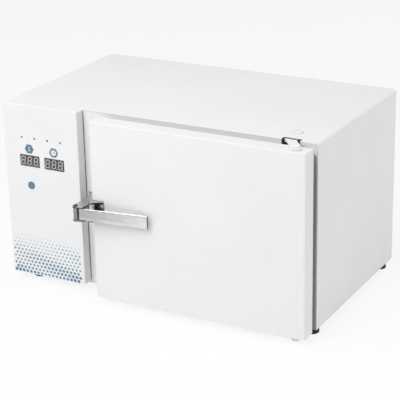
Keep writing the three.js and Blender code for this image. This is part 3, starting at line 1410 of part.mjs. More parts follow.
function addLatchBracket() {
  const left = DOOR_LEFT + SEAT;
  const right = DOOR_LEFT + LATCH_BRACKET_WIDTH;
  const plateBack = DOOR_FRONT - SEAT;
  const plateFront = plateBack - LATCH_SHEET;
  const low = BRACKET_BOTTOM;
  const high = BRACKET_TOP;
  const quarter = Math.PI / 2;
  const ear = new THREE.Shape();
  ear.moveTo(left, plateBack);
  ear.lineTo(PIVOT_X - LATCH_HUB_RADIUS, PIVOT_Y);
  ear.absarc(PIVOT_X, PIVOT_Y, LATCH_HUB_RADIUS, 2 * quarter, 4 * quarter, false);
  ear.lineTo(right, plateFront);
  ear.lineTo(right, plateBack);
  ear.closePath();
  const pinHole = rodZ(
    PIVOT_X,
    PIVOT_Y,
    LATCH_PIN_RADIUS + SEAT,
    low - OVERRUN,
    high + OVERRUN,
    SMALL_STEPS,
  );
  const screwHoles = latchScrewPlaces().map(([x, z]) =>
    rodY(x, z, SCREW_RADIUS + SEAT, plateFront - OVERRUN, plateBack + OVERRUN, SMALL_STEPS),
  );
  const bracket = cut(
    join(
      block(left, right, plateFront, plateBack, low, high),
      raise(ear, high - LATCH_SHEET, high),
      raise(ear, low, low + LATCH_SHEET),
    ),
    pinHole,
    ...screwHoles,
  );
  place(door, "latch_bracket", bracket, STAINLESS);

  const names = ["latch_screw_lower", "latch_screw_upper"];
  latchScrewPlaces().forEach(([x, z], i) => {
    const seat = plateFront - SEAT;
    const shankEnd = DOOR_FRONT + SCREW_LENGTH;
    const shank = rodY(x, z, SCREW_RADIUS, seat, shankEnd, SMALL_STEPS);
    const head = rodY(x, z, SCREW_HEAD_RADIUS, seat - SCREW_HEAD_HEIGHT, seat, SMALL_STEPS);
    place(door, names[i], join(shank, head), ZINC);
  });
}

function addLatchLever() {
  const barX = DOOR_LEFT - BAR_START_LEFT;
  const barY = DOOR_FRONT - BAR_START_OUT;
  const side = polygon([
    [0, -half(BAR_HEIGHT_LEFT)],
    [BAR_LENGTH, -half(BAR_HEIGHT_RIGHT)],
    [BAR_LENGTH, half(BAR_HEIGHT_RIGHT)],
    [0, half(BAR_HEIGHT_LEFT)],
  ]);
  const options = { depth: BAR_THICKNESS, bevelEnabled: false };
  const barGeometry = new THREE.ExtrudeGeometry(side, options);
  barGeometry.rotateX(Math.PI / 2);
  barGeometry.translate(0, BAR_THICKNESS, 0);
  barGeometry.rotateZ(BAR_ANGLE);
  barGeometry.translate(barX, barY, LATCH_HEIGHT);
  const bar = toSolid(barGeometry);

  const hookBack = DOOR_FRONT - HOOK_BACK;
  const hookFront = hookBack - HOOK_THICKNESS;
  const barBack = barY + half(BAR_THICKNESS);
  const webRight = PIVOT_X + LATCH_HUB_RADIUS;
  const hookPlan = polygon([
    [barX, barBack],
    [webRight, barBack + half(BAR_THICKNESS)],
    [webRight, PIVOT_Y],
    [PIVOT_X, PIVOT_Y],
    [PIVOT_X, hookBack],
    [barX - HOOK_LENGTH, hookBack],
    [barX - HOOK_LENGTH, hookFront],
    [barX, hookFront],
  ]);
  const hook = raise(hookPlan, LATCH_HEIGHT - half(HOOK_HEIGHT), LATCH_HEIGHT + half(HOOK_HEIGHT));
  const hubLow = BRACKET_BOTTOM + LATCH_SHEET + RUNNING;
  const hubHigh = BRACKET_TOP - LATCH_SHEET - RUNNING;
  const hub = rodZ(PIVOT_X, PIVOT_Y, LATCH_HUB_RADIUS, hubLow, hubHigh);
  const bore = rodZ(
    PIVOT_X,
    PIVOT_Y,
    LATCH_PIN_RADIUS + RUNNING,
    hubLow - OVERRUN,
    hubHigh + OVERRUN,
    SMALL_STEPS,
  );
  place(latch, "latch_lever", cut(join(bar, hook, hub), bore), STAINLESS);

  const headLow = BRACKET_BOTTOM - SEAT;
  const headHigh = BRACKET_TOP + SEAT;
  const lowEnd = headLow - LATCH_RIVET_HEIGHT;
  const highEnd = headHigh + LATCH_RIVET_HEIGHT;
  const pin = join(
    rodZ(PIVOT_X, PIVOT_Y, LATCH_PIN_RADIUS, headLow, headHigh, SMALL_STEPS),
    rodZ(PIVOT_X, PIVOT_Y, LATCH_RIVET_RADIUS, lowEnd, headLow, SMALL_STEPS),
    rodZ(PIVOT_X, PIVOT_Y, LATCH_RIVET_RADIUS, headHigh, highEnd, SMALL_STEPS),
  );
  place(door, "latch_pin", pin, ZINC);
}

addHousingShell();
addBasePlate();
addFrontFrame();
addRearCover();
addBulkhead();
addControlPanel();
addPanelElectronics();
addProgramButton();
addChamber();
addChamberFittings();
addHeatAndSensors();
addPowerBoard();
addLooms();
addInletAndSwitch();
addFeet();
addHinges();
addKeeper();
addDoorShells();
addDoorBushes();
addLatchBracket();
addLatchLever();

// The origin: on the bench, under the middle of the object's whole length and width
const FRONTMOST = ROLLER_Y - KEEPER_NOSE_RADIUS;
const REARMOST = CABINET_DEPTH + SEAT + INLET_FLANGE_THICKNESS;
part.position.set(-half(CABINET_WIDTH), -half(FRONTMOST + REARMOST), FOOT_HEIGHT);

export default part;
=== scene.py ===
import json
import math

import bmesh
import bpy
from mathutils import Matrix, Vector

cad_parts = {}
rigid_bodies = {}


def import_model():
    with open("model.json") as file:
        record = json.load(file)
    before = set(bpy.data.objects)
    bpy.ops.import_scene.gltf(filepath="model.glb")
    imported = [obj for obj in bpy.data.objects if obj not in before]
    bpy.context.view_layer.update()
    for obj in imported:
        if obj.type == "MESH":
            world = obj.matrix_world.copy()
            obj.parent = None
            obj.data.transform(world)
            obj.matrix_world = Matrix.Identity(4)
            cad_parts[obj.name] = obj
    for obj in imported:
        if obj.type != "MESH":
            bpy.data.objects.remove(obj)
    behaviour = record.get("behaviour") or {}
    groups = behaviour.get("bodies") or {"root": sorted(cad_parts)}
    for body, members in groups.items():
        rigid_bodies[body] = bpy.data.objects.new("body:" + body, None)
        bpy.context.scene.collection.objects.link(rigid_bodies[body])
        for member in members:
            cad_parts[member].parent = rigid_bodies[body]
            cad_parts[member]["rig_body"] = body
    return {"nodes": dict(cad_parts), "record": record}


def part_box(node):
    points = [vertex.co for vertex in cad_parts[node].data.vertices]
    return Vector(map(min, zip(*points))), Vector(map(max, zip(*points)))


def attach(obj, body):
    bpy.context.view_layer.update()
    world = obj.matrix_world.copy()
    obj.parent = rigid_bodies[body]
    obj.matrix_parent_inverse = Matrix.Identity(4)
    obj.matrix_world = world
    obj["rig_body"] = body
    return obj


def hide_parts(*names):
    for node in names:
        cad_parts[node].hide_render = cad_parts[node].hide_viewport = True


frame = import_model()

# The looks of a dry heat sterilizer, built on its CAD frame.
# Sizes are millimetres in the cabinet's own frame: X from its left side, Y from its front
# plane to its back, Z up from its underside. Each mesh is turned into metres in the frame
# of the CAD part at the end of its making.

MM = 0.001
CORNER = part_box("housing_shell")[0]
TO_ROW = Matrix.Translation(CORNER) @ Matrix.Scale(MM, 4)
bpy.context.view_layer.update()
QUARTER = math.pi / 2

# Sizes that many pieces share
SHEET = 1.5
EDGE = 0.3
FINE_EDGE = 0.2
SOFT_EDGE = 0.4
PRESSED_EDGE = 1.2
SEAT = 0.3
OVERRUN = 5
ARC_STEPS = 10
TURN_STEPS = 56
EDGE_STEPS = 3
SMOOTH_ANGLE = math.radians(38)
FLAT_ANGLE = math.radians(1)
PRINT_THICKNESS = 0.05


# Places of CAD nodes in the cabinet's millimetres
def span(node):
    low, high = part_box(node)
    return (low - CORNER) / MM, (high - CORNER) / MM


def middle(node):
    low, high = span(node)
    return (low + high) / 2


def half_width(node):
    low, high = span(node)
    return (high.x - low.x) / 2


# Outlines: lists of (a, b) points
def arc(centre_a, centre_b, radius, start, end, steps=ARC_STEPS):
    angles = [start + (end - start) * i / steps for i in range(steps + 1)]
    return [(centre_a + radius * math.cos(t), centre_b + radius * math.sin(t)) for t in angles]


def rounded(a0, b0, a1, b1, radius):
    return (
        arc(a1 - radius, b0 + radius, radius, -QUARTER, 0)
        + arc(a1 - radius, b1 - radius, radius, 0, QUARTER)
        + arc(a0 + radius, b1 - radius, radius, QUARTER, 2 * QUARTER)
        + arc(a0 + radius, b0 + radius, radius, 2 * QUARTER, 3 * QUARTER)
    )


def rectangle(a0, b0, a1, b1):
    return [(a0, b0), (a1, b0), (a1, b1), (a0, b1)]


def circle(a, b, radius, steps=TURN_STEPS):
    return arc(a, b, radius, 0, 4 * QUARTER * (steps - 1) / steps, steps - 1)


def stadium(a, b, length, width):
    radius = width / 2
    reach = length / 2 - radius
    right = arc(a + reach, b, radius, -QUARTER, QUARTER)
    left = arc(a - reach, b, radius, QUARTER, 3 * QUARTER)
    return right + left


def hexagon(a, b, radius):
    return arc(a, b, radius, 0, 5 * math.pi / 3, 5)


# Meshes in the cabinet's millimetres
PLANES = {
    "xy": Matrix(((1, 0, 0, 0), (0, 1, 0, 0), (0, 0, 1, 0), (0, 0, 0, 1))),
    "xz": Matrix(((1, 0, 0, 0), (0, 0, 1, 0), (0, 1, 0, 0), (0, 0, 0, 1))),
    "yz": Matrix(((0, 0, 1, 0), (1, 0, 0, 0), (0, 1, 0, 0), (0, 0, 0, 1))),
}
MERGE_DISTANCE = 1e-3


def cleaned(mesh):
    work = bmesh.new()
    work.from_mesh(mesh)
    bmesh.ops.remove_doubles(work, verts=work.verts, dist=MERGE_DISTANCE)
    bmesh.ops.recalc_face_normals(work, faces=work.faces)
    work.to_mesh(mesh)
    work.free()
    return mesh


def add_spline(curve, points, closed):
    spline = curve.splines.new("POLY")
    spline.points.add(len(points) - 1)
    for point, place in zip(spline.points, points):
        point.co = (*place, 1)
    spline.use_cyclic_u = closed


def mesh_of(curve):
    """The curve's mesh, in place of the curve."""
    holder = bpy.data.objects.new("curve", curve)
    mesh = bpy.data.meshes.new_from_object(holder)
    bpy.data.objects.remove(holder)
    bpy.data.curves.remove(curve)
    return mesh


def plate(outlines, low, high, edge=EDGE, plane="xy"):
    """Outlines, the first one the outside and the rest its holes, as a sheet from low to
    high along the axis that the plane leaves out, with rounded edges."""
    curve = bpy.data.curves.new("outline", "CURVE")
    curve.dimensions = "2D"
    curve.fill_mode = "BOTH"
    curve.extrude = (high - low) / 2 - edge
    curve.bevel_depth = edge
    curve.bevel_resolution = EDGE_STEPS - 1
    curve.offset = -edge
    for points in outlines:
        add_spline(curve, [(a, b, 0) for a, b in points], True)
    mesh = mesh_of(curve)
    mesh.transform(PLANES[plane] @ Matrix.Translation((0, 0, (low + high) / 2)))
    return cleaned(mesh)


def upright(outlines, front, back, edge=EDGE):
    """A sheet that stands across the depth, with outlines of (x, z)."""
    return plate(outlines, front, back, edge, "xz")


def block(x0, x1, y0, y1, z0, z1, edge=EDGE):
    return plate([rounded(x0, y0, x1, y1, edge)], z0, z1, edge)


def sharp_block(x0, x1, y0, y1, z0, z1):
    work = bmesh.new()
    bmesh.ops.create_cube(work, size=1)
    sizes = Matrix.Diagonal((x1 - x0, y1 - y0, z1 - z0, 1))
    centre = Matrix.Translation(((x0 + x1) / 2, (y0 + y1) / 2, (z0 + z1) / 2))
    mesh = bpy.data.meshes.new("block")
    work.to_mesh(mesh)
    work.free()
    mesh.transform(centre @ sizes)
    return mesh


AXES = {
    "x": Matrix.Rotation(QUARTER, 4, "Y"),
    "y": Matrix.Rotation(-QUARTER, 4, "X"),
    "z": Matrix.Identity(4),
}


def turned(profile, centre, axis="z", steps=TURN_STEPS):
    """A profile of (radius, distance along the axis) turned about the axis through centre."""
    work = bmesh.new()
    rings = []
    for radius, along in profile:
        if radius == 0:
            rings.append([work.verts.new((0, 0, along))])
            continue
        angles = [4 * QUARTER * i / steps for i in range(steps)]
        rings.append(
            [work.verts.new((radius * math.cos(t), radius * math.sin(t), along)) for t in angles]
        )
    for lower, upper in zip(rings, rings[1:]):
        for i in range(steps):
            after = (i + 1) % steps
            corners = [
                lower[i % len(lower)],
                lower[after % len(lower)],
                upper[after % len(upper)],
                upper[i % len(upper)],
            ]
            face = list(dict.fromkeys(corners))
            if len(face) > 2:
                work.faces.new(face)
    mesh = bpy.data.meshes.new("turned")
    work.to_mesh(mesh)
    work.free()
    mesh.transform(Matrix.Translation(centre) @ AXES[axis])
    return cleaned(mesh)


def filleted(points, radius, steps=4):
    """An open row of points with each inner corner rounded."""
    made = [points[0]]
    for before, corner, after in zip(points, points[1:], points[2:]):
        here = Vector(corner)
        to_before = Vector(before) - here
        to_after = Vector(after) - here
        reach = min(radius, to_before.length / 2, to_after.length / 2)
        start = here + to_before.normalized() * reach
        end = here + to_after.normalized() * reach
        for i in range(steps + 1):
            t = i / steps
            point = start * (1 - t) ** 2 + here * (2 * t * (1 - t)) + end * t**2
            made.append(tuple(point))
    made.append(points[-1])
    return made


def stepped(*runs):
    """The profile of cylinders on one line, each given by its radius, start and end."""
    points = [(0, runs[0][1])]
    for radius, start, end in runs:
        points += [(radius, start), (radius, end)]
    return [*points, (0, runs[-1][2])]


def rod(centre, radius, low, high, axis, edge=EDGE):
    return turned(filleted(stepped((radius, low, high)), edge), centre, axis)


def turned_for(node, profile, rounding=0, axis="z", steps=TURN_STEPS):
    """A profile turned about its CAD node's middle line, with its corners rounded."""
    centre = middle(node)
    centre["xyz".index(axis)] = 0
    soft = filleted(profile, rounding) if rounding else profile
    return turned(soft, centre, axis, steps)


def tube(inner, outer, low, high, centre, chamfer=0):
    """A tube along Z, with its outer corners cut off by the chamfer."""
    ring = [(inner, low), (outer - chamfer, low), (outer, low + chamfer)]
    ring += [(outer, high - chamfer), (outer - chamfer, high), (inner, high)]
    closed = [*dict.fromkeys(ring), ring[0]]
    return turned(closed, (centre.x, centre.y, 0))


def joined(*meshes):
    work = bmesh.new()
    for mesh in meshes:
        work.from_mesh(mesh)
    whole = bpy.data.meshes.new("joined")
    work.to_mesh(whole)
    work.free()
    return whole


def linked(name, data):
    """A new object in the scene."""
    made = bpy.data.objects.new(name, data)
    bpy.context.scene.collection.objects.link(made)
    return made


def carved(mesh, *tools):
    """The mesh with each tool's shape cut out of it."""
    holder = linked("carved", mesh)
    cutters = [linked("cutter", tool) for tool in tools]
    for cutter in cutters:
        modifier = holder.modifiers.new("cut", "BOOLEAN")
        modifier.operation = "DIFFERENCE"
        modifier.solver = "EXACT"
        modifier.object = cutter
    bpy.context.view_layer.update()
    graph = bpy.context.evaluated_depsgraph_get()
    result = bpy.data.meshes.new_from_object(holder.evaluated_get(graph))
    for used in [holder, *cutters]:
        bpy.data.objects.remove(used)
    return result


def softened(node, edge):
    """A copy of a CAD node's mesh, in the cabinet's millimetres, with rounded edges."""
    mesh = frame["nodes"][node].data.copy()
    mesh.transform(TO_ROW.inverted())
    work = bmesh.new()
    work.from_mesh(mesh)
    bmesh.ops.remove_doubles(work, verts=work.verts, dist=MERGE_DISTANCE)
    bmesh.ops.dissolve_limit(work, angle_limit=FLAT_ANGLE, verts=work.verts, edges=work.edges)
    sharp = [line for line in work.edges if line.calc_face_angle(0) > SMOOTH_ANGLE]
    bmesh.ops.bevel(
        work,
        geom=sharp,
        offset=edge,
        segments=EDGE_STEPS,
        profile=0.5,
        affect="EDGES",
        clamp_overlap=True,
    )
    work.to_mesh(mesh)
    work.free()
    mesh.materials.clear()
    return mesh


# Materials: where the noise starts and ends, and the depths of their grain in metres
NOISE_LOW = 0.3
NOISE_HIGH = 0.7
PEEL_DEPTH = 0.0004
GRAIN_DEPTH = 0.0002
FINE_GRAIN_DEPTH = 0.0001
FIBRE_DEPTH = 0.002


def alike(value):
    return (value, value, value)


def scaled(colour, share):
    return tuple(channel * share for channel in colour)


def add_node(tree, kind, inputs, output=0, **settings):
    """One output of a new shader node, whose inputs are values or other nodes' outputs."""
    made = tree.nodes.new(f"ShaderNode{kind}")
    for name, value in settings.items():
        setattr(made, name, value)
    for key, value in inputs.items():
        fill(tree, made.inputs[key], value)
    return made.outputs[output]


def fill(tree, socket, value):
    if isinstance(value, bpy.types.NodeSocket):
        tree.links.new(value, socket)
    else:
        socket.default_value = value


class Finish:
    """A material with one Principled shader, and short ways to vary it over the surface."""

    def __init__(self, name, colour, roughness, metallic=0.0):
        self.material = bpy.data.materials.new(name)
        self.material.use_nodes = True
        self.tree = self.material.node_tree
        self.shader = self.tree.nodes["Principled BSDF"]
        self.colour = colour
        self.set("Base Color", (*colour, 1))
        self.set("Roughness", roughness)
        self.set("Metallic", metallic)

    def set(self, socket, value):
        fill(self.tree, self.shader.inputs[socket], value)

    def coordinate(self, axis):
        """The object's own X, Y or Z, in metres."""
        place = add_node(self.tree, "TexCoord", {}, "Object")
        return add_node(self.tree, "SeparateXYZ", {"Vector": place}, axis)

    def total(self, first, second):
        return add_node(self.tree, "Math", {0: first, 1: second}, operation="ADD")

    def noise(self, stretch, detail=3.0, roughness=0.5):
        """Noise whose features are about 1 / stretch metres long along each axis."""
        place = add_node(self.tree, "TexCoord", {}, "Object")
        place = add_node(self.tree, "Mapping", {"Vector": place, "Scale": stretch})
        looks = {"Vector": place, "Scale": 1.0, "Detail": detail, "Roughness": roughness}
        return add_node(self.tree, "TexNoise", looks, "Fac")

    def remapped(self, source, from_low, from_high, to_low, to_high):
        ends = {"From Min": from_low, "From Max": from_high, "To Min": to_low, "To Max": to_high}
        return add_node(self.tree, "MapRange", {"Value": source, **ends}, "Result")

    def vary_roughness(self, source, low, high):
        self.set("Roughness", self.remapped(source, NOISE_LOW, NOISE_HIGH, low, high))

    def vary_colour(self, source, other, low=NOISE_LOW, high=NOISE_HIGH):
        share = self.remapped(source, low, high, 0, 1)
        colours = {0: share, 6: (*self.colour, 1), 7: (*other, 1)}
        self.set("Base Color", add_node(self.tree, "Mix", colours, 2, data_type="RGBA"))

    def bump(self, source, strength, distance):
        looks = {"Height": source, "Strength": strength, "Distance": distance}
        self.set("Normal", add_node(self.tree, "Bump", looks, "Normal"))


WHITE = (0.875, 0.875, 0.875)
WHITE_SHADE = (0.845, 0.85, 0.86)
BLUE = (0.1, 0.215, 0.33)
PALE_BLUE = (0.2, 0.34, 0.48)


def powder_coat(name):
    """White powder coat: a fine orange peel, and a slow drift in tone and gloss."""
    finish = Finish(name, WHITE, 0.42)
    finish.vary_colour(finish.noise(alike(9)), WHITE_SHADE)
    finish.vary_roughness(finish.noise(alike(40)), 0.36, 0.48)
    finish.bump(finish.noise(alike(650), detail=2), 0.1, PEEL_DEPTH)
    finish.set("Specular IOR Level", 0.45)
    return finish.material


def brushed(name, colour, roughness, stretch, grain=0.12):
    """Metal brushed along the axis on which the stretch is least."""
    finish = Finish(name, colour, roughness, 1.0)
    lines = finish.noise(stretch, detail=6, roughness=0.7)
    finish.vary_roughness(lines, roughness * 0.75, roughness * 1.35)
    finish.vary_colour(lines, scaled(colour, 0.82))
    finish.bump(lines, grain, GRAIN_DEPTH)
    return finish.material


# Painted light on the latch bar: a painted reflection that lightens it along X, and painted
# shade that darkens it with height.
BAR_PAINTED_SHADE_HEIGHTS = (0.15, 0.165)
BAR_PAINTED_SHADES = (0.15, -0.25)
BAR_STREAKS = (-0.5, 0.5)
BAR_PAINTED_LIGHT_RANGE = (-0.1, 0.005)


def steel_with_painted_light(name, dark, light):
    """Brushed bar steel that turns from dark to light along X as a painted reflection, and grows
    darker with height as painted shade.
    """
    finish = Finish(name, alike(dark), 0.3, 1.0)
    painted_light = finish.remapped(finish.coordinate("X"), *BAR_PAINTED_LIGHT_RANGE, 0, 1)
    lines = finish.noise((11, 190, 190), detail=8, roughness=0.75)
    streaks = finish.remapped(lines, NOISE_LOW, NOISE_HIGH, *BAR_STREAKS)
    painted_shade = finish.remapped(finish.coordinate("Z"), *BAR_PAINTED_SHADE_HEIGHTS, *BAR_PAINTED_SHADES)
    whole = finish.total(finish.total(painted_light, streaks), painted_shade)
    finish.vary_colour(whole, alike(light), 0, 1)
    finish.vary_roughness(lines, 0.24, 0.4)
    finish.bump(lines, 0.12, GRAIN_DEPTH)
    return finish.material


def cast_or_plated(name, colour, roughness):
    """Plated steel: faint mottling and fine pits."""
    finish = Finish(name, colour, roughness, 1.0)
    mottle = finish.noise(alike(260), detail=4)
    finish.vary_roughness(mottle, roughness * 0.8, roughness * 1.3)
    finish.vary_colour(mottle, scaled(colour, 0.8))
    finish.bump(finish.noise(alike(1500)), 0.08, GRAIN_DEPTH)
    return finish.material


def moulded(name, colour, roughness, coat=0.0):
    """Moulded plastic: a fine spark-eroded texture and slight changes of gloss."""
    finish = Finish(name, colour, roughness)
    finish.vary_roughness(finish.noise(alike(300)), roughness * 0.85, roughness * 1.2)
    finish.vary_colour(finish.noise(alike(60)), scaled(colour, 0.88))
    finish.bump(finish.noise(alike(2500), detail=2), 0.06, FINE_GRAIN_DEPTH)
    finish.set("Coat Weight", coat)
    return finish.material


def soft_rubber(name, colour):
    finish = Finish(name, colour, 0.75)
    dust = finish.noise(alike(120), detail=5)
    finish.vary_colour(dust, tuple(channel * 1.8 + 0.004 for channel in colour))
    finish.vary_roughness(dust, 0.65, 0.9)
    finish.bump(finish.noise(alike(1800)), 0.2, GRAIN_DEPTH)
    return finish.material


def mineral_wool(name, colour):
    finish = Finish(name, colour, 0.95)
    fibres = finish.noise((90, 900, 900), detail=8, roughness=0.75)
    finish.vary_colour(fibres, scaled(colour, 0.55))
    finish.bump(fibres, 0.8, FIBRE_DEPTH)
    finish.set("Sheen Weight", 0.3)
    return finish.material


def circuit_laminate(name, colour):
    """Green laminate with darker copper runs under the lacquer."""
    finish = Finish(name, colour, 0.4)
    runs = finish.noise((70, 70, 700), detail=1)
    finish.vary_colour(runs, scaled(colour, 2.2), 0.48, 0.52)
    finish.bump(runs, 0.2, GRAIN_DEPTH)
    return finish.material


PAINTS = ("white_paint", "panel_paint", "door_paint", "hinge_paint")
RECIPES = {
    "zinc_steel": (cast_or_plated, (0.55, 0.56, 0.57), 0.35),
    "dark_steel": (cast_or_plated, (0.035, 0.035, 0.037), 0.45),
    "roller_steel": (brushed, (0.33, 0.33, 0.34), 0.35, (2600, 2600, 60)),
    "latch_steel": (brushed, (0.62, 0.62, 0.63), 0.3, (55, 2200, 2200)),
    "chamber_steel": (brushed, (0.6, 0.61, 0.62), 0.34, (1400, 40, 1400)),
    "heater_sheath": (cast_or_plated, (0.16, 0.13, 0.11), 0.5),
    "wool": (mineral_wool, (0.62, 0.55, 0.3)),
    "foot_rubber": (soft_rubber, (0.006, 0.006, 0.0065)),
    "silicone": (soft_rubber, (0.32, 0.065, 0.04)),
    "black_plastic": (moulded, (0.02, 0.021, 0.022), 0.42),
    "cap_plastic": (moulded, (0.86, 0.84, 0.77), 0.32, 0.2),
    "button_plastic": (moulded, BLUE, 0.38, 0.15),
    "display": (moulded, (0.06, 0.06, 0.062), 0.4),
    "indicator": (moulded, (0.03, 0.028, 0.026), 0.2, 0.4),
    "circuit_board": (circuit_laminate, (0.015, 0.11, 0.045)),
    "cable": (moulded, (0.08, 0.08, 0.085), 0.55),
}
FINISHES = {name: powder_coat(name) for name in PAINTS}
FINISHES |= {name: made(name, *looks) for name, (made, *looks) in RECIPES.items()}
# Painted shade: near-black for edge faces that point right or to the front.
EDGE_PAINTED_SHADE = cast_or_plated("edge_painted_shade", (0.012, 0.012, 0.013), 0.6)
# Latch bar steel with painted light: lighter along X as a painted reflection, and darker with
# height as painted shade.
BAR_STEEL_PAINTED_LIGHT = steel_with_painted_light("bar_steel_painted_light", 0.47, 0.78)
# Painted highlight: near-white steel for the latch bar's upward faces.
BAR_TOP_PAINTED_HIGHLIGHT = brushed("bar_top_painted_highlight", (0.95, 0.95, 0.95), 0.25, (60, 900, 900), 0.05)
KEEPER_STEEL = brushed("keeper_steel", (0.62, 0.62, 0.63), 0.32, (700, 40, 700))
# Painted shade: dark steel for the front face of the latch bracket's back plate.
STEEL_PAINTED_SHADE = brushed("steel_painted_shade", (0.16, 0.16, 0.165), 0.4, (55, 2200, 2200))
# Painted shade: near-black for the hinge notch's gap and the panel's back edge.
BLACK_PAINTED_SHADE = soft_rubber("black_painted_shade", (0.012, 0.012, 0.012))
# Painted shade: mid grey for the gap behind the door's hinge side.
GREY_PAINTED_SHADE = moulded("grey_painted_shade", (0.46, 0.46, 0.465), 0.8)
SEGMENT = moulded("display_segment", (0.56, 0.56, 0.57), 0.5)
CONTACT_BRASS = cast_or_plated("contact_brass", (0.72, 0.52, 0.22), 0.3)
WHITE_MARK = moulded("white_mark", (0.8, 0.8, 0.8), 0.5)


def printed_ink(name, colour, other, low, high):
    """Screen-printed ink that turns from one blue to another with height, in metres."""
    finish = Finish(name, colour, 0.4)
    finish.vary_colour(finish.coordinate("Z"), other, low, high)
    finish.bump(finish.noise(alike(2200)), 0.05, FINE_GRAIN_DEPTH)
    return finish.material


# Pieces
SLOTS = {row["node"]: row["material_slot"] for row in frame["record"]["subparts"]}


def dressed(name, mesh, material, body):
    """The mesh as a piece in metres on a CAD body, with smooth shading between its edges."""
    mesh.transform(TO_ROW)
    mesh.materials.append(material)
    mesh.shade_smooth()
    mesh.set_sharp_from_angle(angle=SMOOTH_ANGLE)
    mesh.name = name
    made = linked(name, mesh)
    weighted = made.modifiers.new("even_faces", "WEIGHTED_NORMAL")
    weighted.keep_sharp = True
    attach(made, body)
    return made


def stands_for(node, mesh):
    """The mesh as the finished form of a CAD node, on its body and in its slot."""
    slot = SLOTS[node]
    body = frame["nodes"][node]["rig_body"]
    made = dressed(f"{node}_form", mesh, FINISHES[slot], body)
    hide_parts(node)
    return made


# Camera, matched to the photograph's edges
CAMERA_PLACE = Vector((1.05043, -1.8788, 0.94909))
CAMERA_YAW = math.radians(-29.018)
CAMERA_PITCH = math.radians(20.758)
CAMERA_ROLL = math.radians(-1.264)
FOCAL_PIXELS = 1416.16
IMAGE_PIXELS = 400
SENSOR_WIDTH = 36


def add_camera():
    data = bpy.data.cameras.new("camera")
    data.sensor_width = SENSOR_WIDTH
    data.lens = FOCAL_PIXELS / IMAGE_PIXELS * SENSOR_WIDTH
    camera = linked("camera", data)
    level = math.cos(CAMERA_PITCH)
    ahead = Vector(
        (math.sin(CAMERA_YAW) * level, math.cos(CAMERA_YAW) * level, -math.sin(CAMERA_PITCH))
    )
    right = Vector((math.cos(CAMERA_YAW), -math.sin(CAMERA_YAW), 0))
    up = right.cross(ahead)
    rolled_right = right * math.cos(CAMERA_ROLL) + up * math.sin(CAMERA_ROLL)
    rolled_up = up * math.cos(CAMERA_ROLL) - right * math.sin(CAMERA_ROLL)
    turn = Matrix((rolled_right, rolled_up, -ahead)).transposed()
    camera.matrix_world = Matrix.Translation(CAMERA_PLACE) @ turn.to_4x4()
    bpy.context.scene.camera = camera


# Floor, world and lights
FLOOR_SIDE = 30
FLOOR_COLOUR = (0.9, 0.9, 0.9)
FLOOR_ROUGHNESS = 0.9
FLOOR_WHITE_SHARE = 0.86
WORLD_STRENGTH = 0.35


def seen_directly(tree):
    """1 for camera, glossy and transmission rays, and 0 for the rest."""
    path = tree.nodes.new("ShaderNodeLightPath")
    seen = path.outputs["Is Camera Ray"]
    for kind in ("Is Glossy Ray", "Is Transmission Ray"):
        seen = add_node(tree, "Math", {0: seen, 1: path.outputs[kind]}, operation="MAXIMUM")
    return seen


def add_floor():
    mesh = bpy.data.meshes.new("floor")
    half = FLOOR_SIDE / 2
    corners = [(*corner, 0) for corner in rectangle(-half, -half, half, half)]
    mesh.from_pydata(corners, [], [range(len(corners))])
    finish = Finish("floor", FLOOR_COLOUR, FLOOR_ROUGHNESS)
    finish.set("Specular IOR Level", 0)
    tree = finish.tree
    share = {0: seen_directly(tree), 1: FLOOR_WHITE_SHARE}
    shaders = {
        0: add_node(tree, "Math", share, operation="MULTIPLY"),
        1: finish.shader.outputs[0],
        2: add_node(tree, "Emission", {}),
    }
    blend = add_node(tree, "MixShader", shaders)
    fill(tree, tree.nodes["Material Output"].inputs["Surface"], blend)
    mesh.materials.append(finish.material)
    linked("floor", mesh)


def add_world():
    world = bpy.data.worlds.new("studio")
    bpy.context.scene.world = world
    world.use_nodes = True
    tree = world.node_tree
    background = tree.nodes["Background"]
    background.inputs["Color"].default_value = (1, 1, 1, 1)
    levels = {"Value": seen_directly(tree), "To Min": WORLD_STRENGTH, "To Max": 1}
    fill(tree, background.inputs["Strength"], add_node(tree, "MapRange", levels, "Result"))


# Each softbox: place, what it looks at, side in metres, and power in watts
SOFTBOXES = {
    "front": ((-0.4, -1.6, 1.7), (0, 0, 0.15), 1.4, 27),
    "right": ((2.1, 0.5, 0.9), (0, 0, 0.15), 1.4, 11.6),
    "overhead": ((-0.1, -0.5, 2.0), (0, -0.1, 0.2), 1.6, 8.8),
    "rear": ((0.9, 2.3, 0.35), (0, 0, 0.15), 1.2, 5),
}


def add_softboxes():
    for name, (place, target, side, power) in SOFTBOXES.items():
        data = bpy.data.lights.new(name, "AREA")
        data.shape = "SQUARE"
        data.size = side
        data.energy = power
        lamp = linked(name, data)
        lamp.location = place
        lamp.rotation_mode = "QUATERNION"
        lamp.rotation_quaternion = (Vector(target) - Vector(place)).to_track_quat("-Z", "Y")


# Housing
SHELL_RADIUS = 4
ARM_SLACK = 4.5
ARM_STEP = 3.3
ARM_FROM_PIN = 13
ARM_THICKNESS = 2.7
NOTCH_BACK = ARM_STEP + ARM_SLACK


def arm_sides():
    """The left and right of the top hinge arm, and the radius of its boss."""
    low, high = span("top_hinge_arm")
    pin = middle("top_hinge_pin")
    return low.x, pin.x - ARM_FROM_PIN, high.x - pin.x


def notch_sides():
    left, right, _ = arm_sides()
    return left - ARM_SLACK, right + ARM_SLACK


